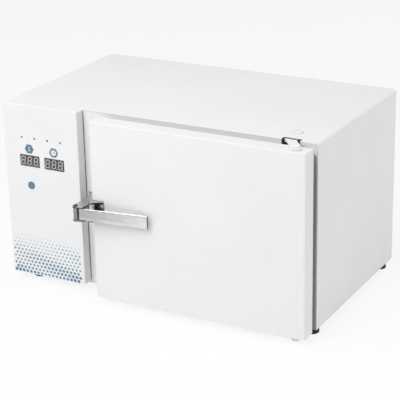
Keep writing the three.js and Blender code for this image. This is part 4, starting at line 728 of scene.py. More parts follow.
def add_housing():
    low, high = span("housing_shell")
    inner = SHELL_RADIUS - SHEET
    left_centre = low.x + SHELL_RADIUS
    right_centre = high.x - SHELL_RADIUS
    top_centre = high.z - SHELL_RADIUS
    outside = (
        [(high.x, low.z)]
        + arc(right_centre, top_centre, SHELL_RADIUS, 0, QUARTER)
        + arc(left_centre, top_centre, SHELL_RADIUS, QUARTER, 2 * QUARTER)
        + [(low.x, low.z)]
    )
    inside = (
        [(low.x + SHEET, low.z)]
        + arc(left_centre, top_centre, inner, 2 * QUARTER, QUARTER)
        + arc(right_centre, top_centre, inner, QUARTER, 0)
        + [(high.x - SHEET, low.z)]
    )
    shell = upright([outside + inside], low.y, high.y)
    left, right = notch_sides()
    bottom = high.z - SHEET - OVERRUN
    notch = sharp_block(left, right, -OVERRUN, NOTCH_BACK, bottom, high.z + OVERRUN)
    stands_for("housing_shell", carved(shell, notch))


NOTCH_SHADE_ON_SHEET = 0.6
NOTCH_SHADE_BEHIND = 0.6
NOTCH_SHADE_IN_SLACK = 3.4
NOTCH_SHADE_PROUD = 0.25
NOTCH_SHADE_DROP = 9


def add_notch_shade():
    """Black strips round the notch that the top hinge arm passes through, as painted shade in
    the notch's gap.
    """
    high = span("housing_shell")[1]
    left, right = notch_sides()
    outer_left = left - NOTCH_SHADE_ON_SHEET
    outer_right = right + NOTCH_SHADE_ON_SHEET
    bottom = high.z - SHEET - NOTCH_SHADE_PROUD
    top = high.z + NOTCH_SHADE_PROUD
    near = NOTCH_BACK - NOTCH_SHADE_IN_SLACK
    far = NOTCH_BACK + NOTCH_SHADE_BEHIND
    strips = [sharp_block(outer_left, outer_right, near, far, bottom, top)]
    for start, end in (
        (outer_left, left + NOTCH_SHADE_IN_SLACK),
        (right - NOTCH_SHADE_IN_SLACK, outer_right),
    ):
        strips.append(sharp_block(start, end, 0, NOTCH_BACK, bottom, top))
        strips.append(sharp_block(start, end, -NOTCH_SHADE_PROUD, SHEET, top - NOTCH_SHADE_DROP, top))
    dressed("notch_painted_shade", joined(*strips), BLACK_PAINTED_SHADE, "cabinet")


# Front frame
CHAMBER_CORNER = 8
LINER_SHEET = 1
LINER_FLANGE = 9
LINER_LOW, LINER_HIGH = span("chamber_liner")
CHAMBER_SIDES = (LINER_LOW.x + LINER_FLANGE, LINER_HIGH.x - LINER_FLANGE)
CHAMBER_HEIGHTS = (LINER_LOW.z + LINER_FLANGE, LINER_HIGH.z - LINER_FLANGE)


def chamber_outline(grow, corner=None):
    """The chamber's outline, grown on all sides, with the grown corner unless one is given."""
    left, right = CHAMBER_SIDES
    bottom, top = CHAMBER_HEIGHTS
    radius = CHAMBER_CORNER + grow if corner is None else corner
    return rounded(left - grow, bottom - grow, right + grow, top + grow, radius)


def add_front_frame():
    low, high = span("front_frame")
    left, right = notch_sides()
    notch_bottom = high.z - ARM_THICKNESS - ARM_SLACK
    radius = SHELL_RADIUS - SHEET
    outline = (
        arc(high.x - radius, high.z - radius, radius, 0, QUARTER)
        + [(right, high.z), (right, notch_bottom), (left, notch_bottom), (left, high.z)]
        + arc(low.x + radius, high.z - radius, radius, QUARTER, 2 * QUARTER)
        + [(low.x, low.z), (high.x, low.z)]
    )
    stands_for("front_frame", upright([outline, chamber_outline(0)], low.y, high.y))


GAP_SHADE_WIDTH = 12
GAP_SHADE_PROUD = 0.5
GAP_SHADE_FROM_TOP = 6
GAP_SHADE_SLANT = 12


def add_gap_shade():
    """A grey sheet on the front frame behind the door's hinge side, as painted shade in the gap
    between door and housing.
    """
    low, high = span("front_frame")
    bottom = span("door_skin")[0].z
    left = high.x - GAP_SHADE_WIDTH
    right = high.x - EDGE
    top = high.z - GAP_SHADE_FROM_TOP
    outline = [(left, bottom), (right, bottom), (right, top - GAP_SHADE_SLANT), (left, top)]
    strip = upright([outline], low.y - GAP_SHADE_PROUD, low.y + EDGE, FINE_EDGE)
    dressed("gap_painted_shade", strip, GREY_PAINTED_SHADE, "cabinet")


# Control panel
PANEL_CORNER = 2
DISPLAYS = ("temperature_display", "time_display")
LAMPS = ("indicator_1", "indicator_2", "indicator_3", "indicator_4")
BUTTON = "program_button"
BUTTON_RADIUS = 6.2


def pan_hollow(low, high):
    """The space inside a sheet pan that is open at its back."""
    sides = (low.x + SHEET, high.x - SHEET)
    depths = (low.y + SHEET, high.y + OVERRUN)
    heights = (low.z + SHEET, high.z - SHEET)
    return sharp_block(*sides, *depths, *heights)


def add_control_panel():
    low, high = span("control_panel")
    outline = rounded(low.x, low.z, high.x, high.z, PANEL_CORNER)
    body = upright([outline], low.y, high.y, PRESSED_EDGE)
    tools = [pan_hollow(low, high)]
    through = (low.y - OVERRUN, low.y + OVERRUN)
    for node in DISPLAYS:
        start, end = span(node)
        sides = (start.x - SEAT, end.x + SEAT)
        heights = (start.z - SEAT, end.z + SEAT)
        tools.append(sharp_block(*sides, *through, *heights))
    for node in (*LAMPS, BUTTON):
        centre = middle(node)
        radius = BUTTON_RADIUS if node == BUTTON else half_width(node)
        tools.append(rod((centre.x, 0, centre.z), radius + SEAT, *through, "y"))
    stands_for("control_panel", carved(body, *tools))


PANEL_SHADE_PROUD = 0.35
PANEL_SHADE_WIDTH = 1
PANEL_SHADE_INSET = 3


def add_panel_shade_line():
    """A dark strip along the right of the panel's back edge, as painted shade in the gap behind
    the panel.
    """
    low, high = span("control_panel")
    sides = (high.x - SHEET, high.x + PANEL_SHADE_PROUD)
    heights = (low.z + PANEL_SHADE_INSET, high.z - PANEL_SHADE_INSET)
    shade_line = sharp_block(*sides, high.y - PANEL_SHADE_WIDTH, high.y, *heights)
    dressed("panel_painted_shade", shade_line, BLACK_PAINTED_SHADE, "cabinet")


# Displays: three unlit seven-segment digits each
DIGIT_HEIGHT = 14.2
DIGIT_WIDTH = 8.2
DIGIT_PITCH = 12.1
DIGIT_SLANT = math.tan(math.radians(7))
SEGMENT_WIDTH = 1.5
SEGMENT_GAP = 0.25
POINT_RADIUS = 0.8


def segment_outline(a0, b0, a1, b1):
    """A bar with pointed ends between two corners of a digit."""
    start = Vector((a0, b0))
    end = Vector((a1, b1))
    along = (end - start).normalized()
    across = Vector((-along.y, along.x)) * SEGMENT_WIDTH / 2
    start += along * SEGMENT_GAP
    end -= along * SEGMENT_GAP
    inset = along * SEGMENT_WIDTH / 2
    corners = [
        start,
        start + inset - across,
        end - inset - across,
        end,
        end - inset + across,
        start + inset + across,
    ]
    return [tuple(corner) for corner in corners]


def digit_segments(a, b):
    half_width = (DIGIT_WIDTH - SEGMENT_WIDTH) / 2
    half_height = (DIGIT_HEIGHT - SEGMENT_WIDTH) / 2
    levels = (-half_height, 0, half_height)
    bars = [(-half_width, level, half_width, level) for level in levels]
    for side in (-half_width, half_width):
        bars += [(side, -half_height, side, 0), (side, 0, side, half_height)]
    slanted = []
    for bar in bars:
        outline = segment_outline(*bar)
        slanted.append([(a + p + q * DIGIT_SLANT, b + q) for p, q in outline])
    return slanted


def add_displays():
    for node in DISPLAYS:
        low, high = span(node)
        centre = middle(node)
        stands_for(node, block(low.x, high.x, low.y, high.y, low.z, high.z, SOFT_EDGE))
        outlines = []
        for place in (-1, 0, 1):
            a = centre.x + place * DIGIT_PITCH - POINT_RADIUS
            outlines += digit_segments(a, centre.z)
            point_a = a + DIGIT_WIDTH / 2 + POINT_RADIUS / 2
            point_b = centre.z - DIGIT_HEIGHT / 2 + POINT_RADIUS / 2
            outlines.append(circle(point_a, point_b, POINT_RADIUS))
        front = low.y - PRINT_THICKNESS
        bars = [upright([outline], front, low.y + SEAT, 0) for outline in outlines]
        dressed(f"{node}_segments", joined(*bars), SEGMENT, "cabinet")


LAMP_DOME_SHARE = 0.6
LAMP_DOME_STEPS = 6
LAMP_TURN_STEPS = 24


def add_lamps():
    for node in LAMPS:
        low, high = span(node)
        radius = half_width(node)
        profile = [(0, low.y)]
        for step in range(1, LAMP_DOME_STEPS + 1):
            t = QUARTER * step / LAMP_DOME_STEPS
            back = low.y + radius * (1 - math.cos(t)) * LAMP_DOME_SHARE
            profile.append((radius * math.sin(t), back))
        profile += [(radius, high.y), (0, high.y)]
        stands_for(node, turned_for(node, profile, 0, "y", LAMP_TURN_STEPS))


BUTTON_DISH = 0.35
BUTTON_DISH_SHARE = 0.5
BUTTON_RIM = 0.9
BUTTON_FLANGE_BACK = 3
BUTTON_ROUNDING = 0.5


def add_button():
    low, high = span(BUTTON)
    step = low.y + BUTTON_FLANGE_BACK
    dish = [
        (0, low.y + BUTTON_DISH),
        (BUTTON_RADIUS * BUTTON_DISH_SHARE, low.y + BUTTON_DISH * BUTTON_DISH_SHARE),
        (BUTTON_RADIUS - BUTTON_RIM, low.y),
    ]
    cap = (BUTTON_RADIUS, low.y, step)
    flange = (half_width(BUTTON), step, step + SHEET)
    stem = (BUTTON_RADIUS / 2, step + SHEET, high.y)
    profile = dish + stepped(cap, flange, stem)[1:]
    stands_for(BUTTON, turned_for(BUTTON, profile, BUTTON_ROUNDING, "y"))


# What is printed on the panel: two plain signs over the displays and a dotted fade
SIGN_RADIUS = 8.6
SIGN_RING = 3.4
SIGN_ABOVE = 20
SIGN_INK_HEIGHTS = (0.2, 0.3)
STEM_WIDTH = 1.5
STEM_LENGTH = 7
STEM_RISE = 0.8
BULB_RADIUS = 1.6
BULB_DROP = 2.4
HAND_WIDTH = 1.3
LONG_HAND = 3
SHORT_HAND = 2.4


def printed(outlines, face):
    return upright(outlines, face - PRINT_THICKNESS, face + PRINT_THICKNESS, 0)


def add_signs():
    face = span("control_panel")[0].y
    ink = printed_ink("sign_ink", BLUE, BLUE, *SIGN_INK_HEIGHTS)
    heat = middle(DISPLAYS[0])
    clock = middle(DISPLAYS[1])
    level = heat.z + SIGN_ABOVE
    lying = stadium(level + STEM_RISE, heat.x, STEM_LENGTH, STEM_WIDTH)
    stem = [(a, b) for b, a in lying]
    bulb = circle(heat.x, level - BULB_DROP, BULB_RADIUS)
    badge = printed([hexagon(heat.x, level, SIGN_RADIUS)], face)
    dressed("heat_sign", badge, ink, "cabinet")
    symbol = joined(*(printed([shape], face - PRINT_THICKNESS) for shape in (stem, bulb)))
    dressed("heat_symbol", symbol, WHITE_MARK, "cabinet")
    ring = [
        hexagon(clock.x, level, SIGN_RADIUS),
        hexagon(clock.x, level, SIGN_RADIUS - SIGN_RING)[::-1],
    ]
    half = HAND_WIDTH / 2
    left = clock.x - half
    minute = rectangle(left, level - half, clock.x + half, level + LONG_HAND)
    hour = rectangle(left, level - half, clock.x + SHORT_HAND, level + half)
    sign = joined(*(printed(outlines, face) for outlines in (ring, [minute], [hour])))
    dressed("clock_sign", sign, ink, "cabinet")


FADE_MARGIN = 4
FADE_HEIGHT = 74
FADE_PITCH = 7.2
FADE_INSET_SHARE = 0.25
FADE_DOT = 3.3
FADE_WAVE_MEAN = 0.85
FADE_WAVE = 0.15
LEAST_DOT = 0.35


def add_fade():
    """Rows of hexagonal dots that shrink with height, staggered row by row."""
    low, high = span("control_panel")
    rise = FADE_PITCH * math.sin(math.pi / 3)
    rows = int(FADE_HEIGHT / rise)
    columns = int((high.x - low.x - 2 * FADE_MARGIN) / FADE_PITCH)
    dots = []
    for row in range(rows):
        level = low.z + FADE_MARGIN + row * rise
        share = 1 - (row + 0.5) / rows
        shift = FADE_PITCH / 2 * (row % 2)
        for column in range(columns):
            a = low.x + FADE_MARGIN + shift + (column + FADE_INSET_SHARE) * FADE_PITCH
            wave = FADE_WAVE_MEAN + FADE_WAVE * math.cos(column / columns * 4 * QUARTER + row)
            size = FADE_DOT * math.sqrt(share) * wave
            if size > LEAST_DOT:
                dots.append(printed([hexagon(a, level, size)], low.y))
    base = low.z * MM + CORNER.z
    ink = printed_ink("fade_ink", BLUE, PALE_BLUE, base, base + FADE_HEIGHT * MM)
    dressed("dotted_fade", joined(*dots), ink, "cabinet")


# Chamber
SLOT_LENGTH = 34
SLOT_WIDTH = 6
SLOT_COLUMNS = 5
SLOT_ROWS = 6
SHELF_CORNER = 1
RAIL_EDGE = 0.25


def slotted(x0, x1, y0, y1, z0, z1):
    outlines = [rounded(x0, y0, x1, y1, SHELF_CORNER)]
    for column in range(SLOT_COLUMNS):
        for row in range(SLOT_ROWS):
            x = x0 + (column + 0.5) * (x1 - x0) / SLOT_COLUMNS
            y = y0 + (row + 0.5) * (y1 - y0) / SLOT_ROWS
            outlines.append(stadium(x, y, SLOT_LENGTH, SLOT_WIDTH))
    return plate(outlines, z0, z1, FINE_EDGE)


def add_shelf(node, bottom, top):
    """A slotted sheet between two heights, with a lip along its front and its back."""
    low, high = span(node)
    sheet = slotted(low.x, high.x, low.y, high.y, bottom, top)
    front = block(low.x, high.x, low.y, low.y + LINER_SHEET, low.z, high.z, SOFT_EDGE)
    rear = block(low.x, high.x, high.y - LINER_SHEET, high.y, low.z, high.z, SOFT_EDGE)
    stands_for(node, joined(sheet, front, rear))


def add_chamber():
    front = LINER_LOW.y
    back = LINER_HIGH.y
    mouth = chamber_outline(0)
    wall = upright([chamber_outline(LINER_SHEET), mouth], front, back, FINE_EDGE)
    end = upright([chamber_outline(LINER_SHEET / 2)], back - LINER_SHEET, back, FINE_EDGE)
    collar = [chamber_outline(LINER_FLANGE), mouth]
    flange = upright(collar, front, front + LINER_SHEET, FINE_EDGE)
    stands_for("chamber_liner", joined(wall, end, flange))
    for node in ("upper_shelf", "lower_shelf"):
        bottom = span(node)[0].z
        add_shelf(node, bottom, bottom + LINER_SHEET)
    top = span("chamber_floor")[1].z
    add_shelf("chamber_floor", top - LINER_SHEET, top)
    for node in ("left_shelf_rail", "right_shelf_rail"):
        stands_for(node, softened(node, RAIL_EDGE))


PROBE_RADIUS = 2.5
PROBE_END = 1.2
PROBE_NUT = 4


def add_probe():
    node = "temperature_probe"
    low, high = span(node)
    centre = middle(node)
    stem = rod((0, centre.y, centre.z), PROBE_RADIUS, low.x, high.x, "x", PROBE_END)
    outline = hexagon(centre.y, centre.z, (high.y - low.y) / 2)
    end = span("bulkhead")[0].x - SEAT
    nut = plate([outline], end - PROBE_NUT, end, SOFT_EDGE, "yz")
    stands_for(node, joined(stem, nut))


HEATER_LEGS = 4
HEATER_PITCH = 50
HEATER_FROM_SIDE = 15
HEATER_TURN_STEPS = 16
HEATER_ROUND_STEPS = 5


def add_heater():
    node = "chamber_heater"
    low, high = span(node)
    radius = (high.z - low.z) / 2
    turn = HEATER_PITCH / 2
    level = (low.z + high.z) / 2
    near = CHAMBER_SIDES[0] + HEATER_FROM_SIDE + turn
    far = CHAMBER_SIDES[1] - HEATER_FROM_SIDE - turn
    first = low.y + radius
    points = [(low.x, first)]
    for leg in range(HEATER_LEGS - 1):
        centre = first + (leg + 0.5) * HEATER_PITCH
        if leg % 2 == 0:
            points += arc(far, centre, turn, -QUARTER, QUARTER, HEATER_TURN_STEPS)
        else:
            points += arc(near, centre, turn, 3 * QUARTER, QUARTER, HEATER_TURN_STEPS)
    points.append((low.x, first + (HEATER_LEGS - 1) * HEATER_PITCH))
    curve = bpy.data.curves.new("heater", "CURVE")
    curve.dimensions = "3D"
    curve.bevel_depth = radius
    curve.bevel_resolution = HEATER_ROUND_STEPS
    curve.use_fill_caps = True
    add_spline(curve, [(x, y, level) for x, y in points], False)
    stands_for(node, cleaned(mesh_of(curve)))


# Hinges
PIN_HOLE = 4.3
PIN_SHANK = 4
PIN_HEAD = 2.5
PIN_RIM = 1.2
PIN_CROWN_SHARE = 0.55
PIN_ROUNDING = 0.8
NUT_ROUNDING = 0.9
ARM_CORNER = 2
TOP_ARM_EDGE = 0.6
BOTTOM_ARM_EDGE = 0.5
CAP_HEIGHT = 3.2
CAP_RIM = 0.6
CAP_DOME = 2.6
CAP_STEPS = 8
CAP_SHANK = 2.5


def arm_outline(start, end):
    """The arm in plan from y = start to y = end behind the front plane, with its boss."""
    left, right, radius = arm_sides()
    pin = middle("top_hinge_pin")
    return [
        (left, end),
        (left, start),
        *arc(pin.x, pin.y, radius, 2 * QUARTER, 4 * QUARTER, 2 * ARC_STEPS),
        (right, start),
        (right, end),
    ]


def add_top_hinge():
    left, right, _ = arm_sides()
    pin = middle("top_hinge_pin")
    low, high = span("top_hinge_arm")
    outline = [arm_outline(0, ARM_STEP), circle(pin.x, pin.y, PIN_HOLE)]
    outer = plate(outline, high.z - ARM_THICKNESS, high.z, TOP_ARM_EDGE)
    root = rounded(left, SEAT, right, high.y, ARM_CORNER)
    inner = plate([root], low.z, low.z + ARM_THICKNESS, SOFT_EDGE)
    step = block(left, right, SEAT, ARM_STEP, low.z, high.z, SOFT_EDGE)
    stands_for("top_hinge_arm", joined(outer, inner, step))

    node = "top_hinge_pin"
    start, end = span(node)
    radius = half_width(node)
    head = end.z - PIN_HEAD
    sides = stepped((PIN_SHANK, start.z, head), (radius, head, head + PIN_RIM))[:-1]
    profile = [*sides, (radius * PIN_CROWN_SHARE, end.z), (0, end.z)]
    stands_for(node, turned_for(node, profile, PIN_ROUNDING))


def add_hinge_cap():
    node = "hinge_cap_screw"
    low, high = span(node)
    radius = half_width(node)
    rim = high.z - CAP_HEIGHT
    profile = [(0, low.z), (CAP_SHANK, low.z), (CAP_SHANK, rim), (radius - EDGE, rim)]
    for step in range(CAP_STEPS):
        t = QUARTER * step / CAP_STEPS
        profile.append((radius * math.cos(t), rim + CAP_RIM + CAP_DOME * math.sin(t)))
    profile.append((0, high.z))
    stands_for(node, turned_for(node, profile))


def add_bottom_hinge():
    pin = middle("top_hinge_pin")
    low, high = span("bottom_hinge_arm")
    outline = [arm_outline(0, high.y), circle(pin.x, pin.y, PIN_HOLE)]
    stands_for("bottom_hinge_arm", plate(outline, low.z, high.z, BOTTOM_ARM_EDGE))
    node = "bottom_hinge_pin"
    start, end = span(node)
    nut_top = low.z - SEAT
    nut = (half_width(node), start.z + PIN_RIM, nut_top)
    sides = stepped(nut, (PIN_SHANK, nut_top, end.z))[1:]
    profile = [(0, start.z), (PIN_SHANK, start.z), *sides]
    stands_for(node, turned_for(node, profile, NUT_ROUNDING))


def add_bushes():
    pin = middle("top_hinge_pin")
    for node in ("top_hinge_bush", "bottom_hinge_bush"):
        low, high = span(node)
        stands_for(node, tube(PIN_HOLE, half_width(node), low.z, high.z, pin))


# Screws
CROSS_WIDTH = 0.9
CROSS_LENGTH = 3.4
CROSS_DEPTH = 0.9
SCREW_CROWN_SHARE = 0.75
SCREW_SIDE_SHARE = 0.55
SCREW_ROUNDING = 0.35
SCREW_STEPS = 32
LATCH_SCREW = 1.6
FOOT_SCREW = 2
CORNERS = ("front_left", "front_right", "rear_left", "rear_right")


def screw(node, axis, size):
    """A pan-head screw with a cross recess, its head at the low end of the axis. The size is
    both its shank's radius and its head's height."""
    low, high = span(node)
    centre = middle(node)
    index = "xyz".index(axis)
    radius = half_width(node)
    start = low[index]
    under = start + size
    head = (radius, start + size * SCREW_SIDE_SHARE, under)
    sides = stepped(head, (size, under, high[index]))[1:]
    profile = [(0, start), (radius * SCREW_CROWN_SHARE, start), *sides]
    body = turned_for(node, profile, SCREW_ROUNDING, axis, SCREW_STEPS)
    tools = []
    for long_axis in [i for i in range(3) if i != index]:
        lows = [value - CROSS_WIDTH / 2 for value in centre]
        highs = [value + CROSS_WIDTH / 2 for value in centre]
        lows[long_axis] = centre[long_axis] - CROSS_LENGTH / 2
        highs[long_axis] = centre[long_axis] + CROSS_LENGTH / 2
        lows[index] = start - OVERRUN
        highs[index] = start + CROSS_DEPTH
        tools.append(sharp_block(*(value for pair in zip(lows, highs) for value in pair)))
    stands_for(node, carved(body, *tools))


def add_screws():
    for holder in ("keeper", "latch"):
        for place in ("lower", "upper"):
            screw(f"{holder}_screw_{place}", "y", LATCH_SCREW)
    for place in CORNERS:
        screw(f"foot_screw_{place}", "z", FOOT_SCREW)


# Latch
LATCH_SHEET = 2
NOSE_RADIUS = 5
HUB_RADIUS = 5
KEEPER_NEAR = 2
KEEPER_WALL_OUT = 6
KEEPER_WALL_END = 5
KEEPER_FOOT_WIDTH = 28
KEEPER_FOOT_CLIP = 8
KEEPER_GAP = 20
KEEPER_PIN_HOLE = 2.3
KEEPER_PIN_SHANK = 2
KEEPER_PIN_HEAD = 1.2
ROLLER_CHAMFER = 0.5
# How far a face's normal has to point some way to count as facing there
SIDEWAYS_SHARE = 0.6
RIGHT_SHARE = 0.3
FRONT_SHARE = 0.5
UP_SHARE = 0.7
STRAIGHT_SHARE = 0.9


def latch_places():
    """The door's left, front and back, and the middles of the roller and the latch pin."""
    door_low, door_high = span("door_skin")
    roller = middle("keeper_roller")
    pivot = middle("latch_pin")
    return door_low.x, door_low.y, door_high.y, roller, pivot


def headed_pin(node, shank, head, rounding):
    """A pin with a flat head at each end."""
    low, high = span(node)
    radius = half_width(node)
    near = low.z + head
    far = high.z - head
    profile = stepped((radius, low.z, near), (shank, near, far), (radius, far, high.z))
    stands_for(node, turned_for(node, profile, rounding))


def keeper_plan():
    """The outline in plan of the keeper's two flanges."""
    door_left, door_front, door_back, roller, _ = latch_places()
    near_door = door_left - KEEPER_NEAR
    front = roller.y - NOSE_RADIUS
    return [
        (span("latch_keeper")[0].x + KEEPER_NEAR, -SEAT),
        (roller.x - KEEPER_WALL_OUT, door_back),
        (roller.x - NOSE_RADIUS, door_front),
        *arc(roller.x, roller.y, NOSE_RADIUS, 2 * QUARTER, 3 * QUARTER),
        (near_door - KEEPER_NEAR, front + KEEPER_NEAR),
        (near_door, door_front),
        ((roller.x + door_left) / 2, (door_front + door_back) / 2),
        (roller.x + KEEPER_NEAR, door_back),
        (roller.x + KEEPER_NEAR, -SEAT),
    ]


def keeper_wall_plan():
    """The outline in plan of the wall between the keeper's flanges."""
    _, door_front, door_back, roller, _ = latch_places()
    foot = span("latch_keeper")[0].x + KEEPER_NEAR
    back = roller.x - KEEPER_WALL_OUT
    left = roller.x - NOSE_RADIUS
    end = door_front - KEEPER_WALL_END
    outer = [(foot, -SEAT), (back, door_back), (left, door_front), (left, end)]
    return outer + [(x + LATCH_SHEET, y) for x, y in reversed(outer)]


def keeper_foot():
    low, high = span("latch_keeper")
    right = low.x + KEEPER_FOOT_WIDTH
    clipped = right - KEEPER_FOOT_CLIP
    outline = [(low.x, low.z), (clipped, low.z), (right, low.z + KEEPER_FOOT_CLIP)]
    outline += [(right, high.z - KEEPER_FOOT_CLIP), (clipped, high.z), (low.x, high.z)]
    return upright([outline], -SEAT - LATCH_SHEET, -SEAT, SOFT_EDGE)


def add_keeper():
    low, high = span("latch_keeper")
    level = (low.z + high.z) / 2
    top = level + KEEPER_GAP / 2 + LATCH_SHEET
    bottom = level - KEEPER_GAP / 2 - LATCH_SHEET
    roller = middle("keeper_roller")
    plan = [keeper_plan(), circle(roller.x, roller.y, KEEPER_PIN_HOLE)]
    parts = [
        keeper_foot(),
        plate(plan, top - LATCH_SHEET, top, SOFT_EDGE),
        plate(plan, bottom, bottom + LATCH_SHEET, SOFT_EDGE),
        plate([keeper_wall_plan()], bottom + FINE_EDGE, top - FINE_EDGE, FINE_EDGE),
    ]
    keeper = stands_for("latch_keeper", joined(*parts))
    keeper.data.materials[0] = KEEPER_STEEL
    paint_shade_on_flange_edges(keeper, bottom, top)
    headed_pin("keeper_pin", KEEPER_PIN_SHANK, KEEPER_PIN_HEAD, SOFT_EDGE)
    low, high = span("keeper_roller")
    radius = half_width("keeper_roller")
    ring = tube(KEEPER_PIN_HOLE, radius, low.z, high.z, roller, ROLLER_CHAMFER)
    stands_for("keeper_roller", ring)


def paint_shade_on_flange_edges(made, bottom, top):
    """Paints shade on the right and front edges of the keeper's two flanges, with a near-black
    material.
    """
    made.data.materials.append(EDGE_PAINTED_SHADE)
    low = (bottom + LATCH_SHEET) * MM + CORNER.z
    high = (top - LATCH_SHEET) * MM + CORNER.z
    for face in made.data.polygons:
        in_flange = not low < face.center.z < high
        faces_out = face.normal.x > RIGHT_SHARE or face.normal.y < -FRONT_SHARE
        if abs(face.normal.z) < SIDEWAYS_SHARE and in_flange and faces_out:
            face.material_index = 1


BRACKET_CORNER = 1
LATCH_PIN_HOLE = 2.8
LATCH_PIN_SHANK = 2.5
LATCH_PIN_HEAD = 1.5
LATCH_PIN_ROUNDING = 0.5


def add_bracket():
    node = "latch_bracket"
    low, high = span(node)
    _, door_front, _, _, pivot = latch_places()
    plate_back = door_front - SEAT
    plate_front = plate_back - LATCH_SHEET
    ear = [
        (low.x, plate_back),
        *arc(pivot.x, pivot.y, HUB_RADIUS, 2 * QUARTER, 4 * QUARTER, 2 * ARC_STEPS),
        (high.x, plate_front),
        (high.x, plate_back),
    ]
    plan = [ear, circle(pivot.x, pivot.y, LATCH_PIN_HOLE)]
    outline = rounded(low.x, low.z, high.x, high.z, BRACKET_CORNER)
    back = upright([outline], plate_front, plate_back, SOFT_EDGE)
    upper = plate(plan, high.z - LATCH_SHEET, high.z, SOFT_EDGE)
    lower = plate(plan, low.z, low.z + LATCH_SHEET, SOFT_EDGE)
    bracket = stands_for(node, joined(back, upper, lower))
    bracket.data.materials.append(EDGE_PAINTED_SHADE)
    bracket.data.materials.append(STEEL_PAINTED_SHADE)
    behind = (plate_front - FINE_EDGE) * MM + CORNER.y
    ahead = (plate_front + FINE_EDGE) * MM + CORNER.y
    # Painted shade: the back plate's front face gets dark steel, and the ears' edges in front of
    # the plate get the near-black edge material.
    for face in bracket.data.polygons:
        if face.center.y > behind and face.normal.y < -STRAIGHT_SHARE:
            face.material_index = 2
        elif face.center.y < ahead and abs(face.normal.z) < SIDEWAYS_SHARE:
            face.material_index = 1
    headed_pin("latch_pin", LATCH_PIN_SHANK, LATCH_PIN_HEAD, LATCH_PIN_ROUNDING)


BAR_ANGLE = math.radians(6.5)
BAR_LENGTH = 115
BAR_THICKNESS = 4
BAR_HEIGHT_LEFT = 18.6
BAR_HEIGHT_RIGHT = 21.4
BAR_ROUNDING = 0.7
BAR_BEFORE_DOOR = 22.8
BAR_PAST_DOOR = 11
HOOK_BEFORE_DOOR = 12.3
HOOK_THICKNESS = 3.9
HOOK_REACH = 9
HOOK_HALF_HEIGHT = 9


def add_lever():
    node = "latch_lever"
    low, high = span(node)
    door_left, door_front, _, roller, pivot = latch_places()
    level = roller.z
    bar_x = door_left - BAR_PAST_DOOR
    bar_y = door_front - BAR_BEFORE_DOOR
    side = [
        (0, -BAR_HEIGHT_LEFT / 2),
        (BAR_LENGTH, -BAR_HEIGHT_RIGHT / 2),
        (BAR_LENGTH, BAR_HEIGHT_RIGHT / 2),
        (0, BAR_HEIGHT_LEFT / 2),
    ]
    bar = upright([side], 0, BAR_THICKNESS, BAR_ROUNDING)
    turn = Matrix.Rotation(BAR_ANGLE, 4, "Z")
    bar.transform(Matrix.Translation((bar_x, bar_y, level)) @ turn)
    hook_back = door_front - HOOK_BEFORE_DOOR
    hook_front = hook_back - HOOK_THICKNESS
    hook_left = bar_x - HOOK_REACH
    bar_back = bar_y + BAR_THICKNESS / 2
    web_right = pivot.x + HUB_RADIUS
    web = [(bar_x, bar_back), (web_right, bar_back + BAR_THICKNESS / 2), (web_right, pivot.y)]
    inner = [(pivot.x, pivot.y), (pivot.x, hook_back), (hook_left, hook_back)]
    hook_plan = [*web, *inner, (hook_left, hook_front), (bar_x, hook_front)]
    hook = plate([hook_plan], level - HOOK_HALF_HEIGHT, level + HOOK_HALF_HEIGHT, SOFT_EDGE)
    hub = tube(LATCH_PIN_HOLE, HUB_RADIUS, low.z, high.z, pivot)
    lever = stands_for(node, joined(bar, hook, hub))
    lever.data.materials[0] = BAR_STEEL_PAINTED_LIGHT
    lever.data.materials.append(BAR_TOP_PAINTED_HIGHLIGHT)
    lever.data.materials.append(EDGE_PAINTED_SHADE)
    bar_end = (bar_x + BAR_LENGTH * math.cos(BAR_ANGLE) - BAR_THICKNESS) * MM + CORNER.x
    # Painted highlight on the lever's upward faces, and painted shade on the bar's right end
    # face.
    for face in lever.data.polygons:
        if face.normal.z > UP_SHARE:
            face.material_index = 1
        if face.center.x > bar_end and face.normal.x > STRAIGHT_SHARE:
            face.material_index = 2


# Door
DOOR_CORNER = 2
BUSH_HOLE = 6.8
PAN_SHEET = 1.2
PAN_CORNER = 1
LAND_GROW = 17
LAND_HEIGHT = 9
LAND_EDGE = 1
PLUG_CLEARANCE = 6
PLUG_EDGE = 1.2
GASKET_OFFSET = 3
GASKET_CORNER = 12
GASKET_EDGE = 1.8


def add_door_skin():
    low, high = span("door_skin")
    outline = rounded(low.x, low.z, high.x, high.z, DOOR_CORNER)
    body = upright([outline], low.y, high.y, PRESSED_EDGE)
    pin = middle("top_hinge_pin")
    hole = rod((pin.x, pin.y, 0), BUSH_HOLE, low.z - OVERRUN, high.z + OVERRUN, "z")
    stands_for("door_skin", carved(body, pan_hollow(low, high), hole))


def add_door_pan():
    low, high = span("door_inner_pan")
    back = span("door_skin")[1].y
    outline = rounded(low.x, low.z, high.x, high.z, PAN_CORNER)
    sheet = upright([outline], back - PAN_SHEET, back, SOFT_EDGE)
    land_start = back - PAN_SHEET / 2
    land = upright([chamber_outline(LAND_GROW)], land_start, back + LAND_HEIGHT, LAND_EDGE)
    plug = upright([chamber_outline(-PLUG_CLEARANCE)], back, high.y, PLUG_EDGE)
    stands_for("door_inner_pan", joined(sheet, land, plug))


def add_door_gasket():
    low, high = span("door_gasket")
    inside = chamber_outline(GASKET_OFFSET, GASKET_CORNER)
    width = CHAMBER_SIDES[0] - GASKET_OFFSET - low.x
    outside = rounded(low.x, low.z, high.x, high.z, GASKET_CORNER + width)
    stands_for("door_gasket", upright([outside, inside], low.y, high.y, GASKET_EDGE))


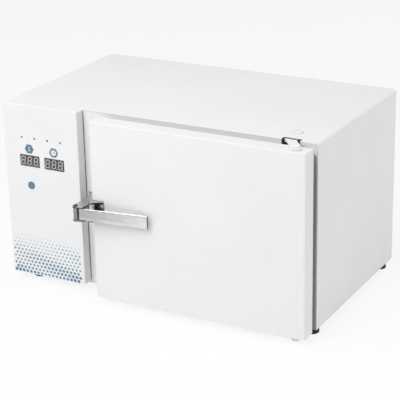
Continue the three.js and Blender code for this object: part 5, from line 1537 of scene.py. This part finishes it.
# Back
VENT_LENGTH = 44
VENT_WIDTH = 3.5
VENT_PITCH = 9
VENT_COUNT = 7
VENTS_TOP = 259
VENT_PAST_INLET = 25
INLET_CUTOUT = (13.3, 10.3, 2)
SWITCH_CUTOUT = (7.3, 11.3, 1)
ROCKER_EDGE = 0.5


def cutout(centre, half_width, half_height, corner):
    left = centre.x - half_width
    right = centre.x + half_width
    return rounded(left, centre.z - half_height, right, centre.z + half_height, corner)


def add_rear():
    low, high = span("rear_cover")
    inlet = middle("power_inlet")
    switch = middle("power_switch_body")
    vent_bottom = VENTS_TOP - VENT_COUNT * VENT_PITCH
    left, right = CHAMBER_SIDES
    outlines = [rounded(low.x, low.z, high.x, high.z, SHELL_RADIUS - SHEET)]
    for column in (inlet.x + VENT_PAST_INLET, left + VENT_LENGTH, right - VENT_LENGTH):
        for i in range(VENT_COUNT):
            level = vent_bottom + i * VENT_PITCH
            outlines.append(stadium(column, level, VENT_LENGTH, VENT_WIDTH))
    outlines.append(cutout(inlet, *INLET_CUTOUT))
    outlines.append(cutout(switch, *SWITCH_CUTOUT))
    stands_for("rear_cover", upright(outlines, low.y, high.y))
    stands_for("power_inlet", softened("power_inlet", EDGE))
    stands_for("power_switch_body", softened("power_switch_body", EDGE))
    stands_for("power_rocker", softened("power_rocker", ROCKER_EDGE))


CONTACT_DEPTH = 7.3
CONTACT_LENGTH = 12
CONTACT_PROUD = 0.1
CONTACT_PITCH = 6
CONTACT_DROP = 2
CONTACT_HALF_WIDTH = 1.1
CONTACT_HALF_HEIGHT = 2.1


def add_contacts():
    """Brass faces over the inlet's three contacts, the middle one higher than the others."""
    inlet = middle("power_inlet")
    tip = span("power_inlet")[1].y - CONTACT_DEPTH
    depths = (tip - CONTACT_LENGTH, tip + CONTACT_PROUD)
    sleeves = []
    for side in (-1, 0, 1):
        x = inlet.x + side * CONTACT_PITCH
        z = inlet.z - abs(side) * CONTACT_DROP
        sides = (x - CONTACT_HALF_WIDTH, x + CONTACT_HALF_WIDTH)
        heights = (z - CONTACT_HALF_HEIGHT, z + CONTACT_HALF_HEIGHT)
        sleeves.append(block(*sides, *depths, *heights, SOFT_EDGE))
    dressed("inlet_contacts", joined(*sleeves), CONTACT_BRASS, "cabinet")


ROCKER_TILT = math.radians(10)
ROCKER_FACE = 1.6
ON_MARK = (-0.35, -6.5, 0.35, -3.3)
OFF_MARK_HEIGHT = 5
OFF_MARK_RADII = (1.6, 1.1)


def add_rocker_marks():
    """A bar and a ring, the usual signs for on and off, on the two ends of the rocker."""
    switch = middle("power_switch_body")
    outer, inner = (circle(0, OFF_MARK_HEIGHT, radius) for radius in OFF_MARK_RADII)
    bar = printed([rectangle(*ON_MARK)], ROCKER_FACE)
    ring = printed([outer, inner[::-1]], ROCKER_FACE)
    marks = joined(bar, ring)
    place = Matrix.Translation((switch.x, span("rear_cover")[1].y, switch.z))
    marks.transform(place @ Matrix.Rotation(ROCKER_TILT, 4, "X"))
    dressed("rocker_marks", marks, WHITE_MARK, "rocker")


# Feet
FOOT_HOLE = 2.3
FOOT_RECESS = 5
FOOT_RECESS_DEPTH = 5.5
FOOT_TAPER = 0.8


def add_feet():
    for place in CORNERS:
        node = f"foot_{place}"
        low, high = span(node)
        radius = half_width(node)
        inner = radius - FOOT_TAPER
        seat = low.z + FOOT_RECESS_DEPTH
        ring = [(FOOT_HOLE, seat), (FOOT_RECESS, seat), (FOOT_RECESS, low.z), (inner, low.z)]
        ring += [(radius, low.z + FOOT_TAPER), (inner, high.z), (FOOT_HOLE, high.z), ring[0]]
        stands_for(node, turned_for(node, ring, SOFT_EDGE))


# CAD nodes whose own shape stays: hidden inside, or plain sheet
KEPT_NODES = (
    "base_plate",
    "bulkhead",
    "chamber_insulation",
    "door_insulation",
    "thermal_cutout",
    "control_board",
    "button_switch",
    "power_board",
    "mains_loom",
    "signal_loom",
)


def finish_kept_nodes():
    for node in KEPT_NODES:
        for place in frame["nodes"][node].material_slots:
            place.material = FINISHES[SLOTS[node]]


add_camera()
add_floor()
add_world()
add_softboxes()
add_housing()
add_notch_shade()
add_front_frame()
add_gap_shade()
add_control_panel()
add_panel_shade_line()
add_displays()
add_lamps()
add_button()
add_signs()
add_fade()
add_chamber()
add_probe()
add_heater()
add_top_hinge()
add_hinge_cap()
add_bottom_hinge()
add_bushes()
add_screws()
add_keeper()
add_bracket()
add_lever()
add_door_skin()
add_door_pan()
add_door_gasket()
add_rear()
add_contacts()
add_rocker_marks()
add_feet()
finish_kept_nodes()

bpy.context.scene.view_settings.view_transform = "Standard"
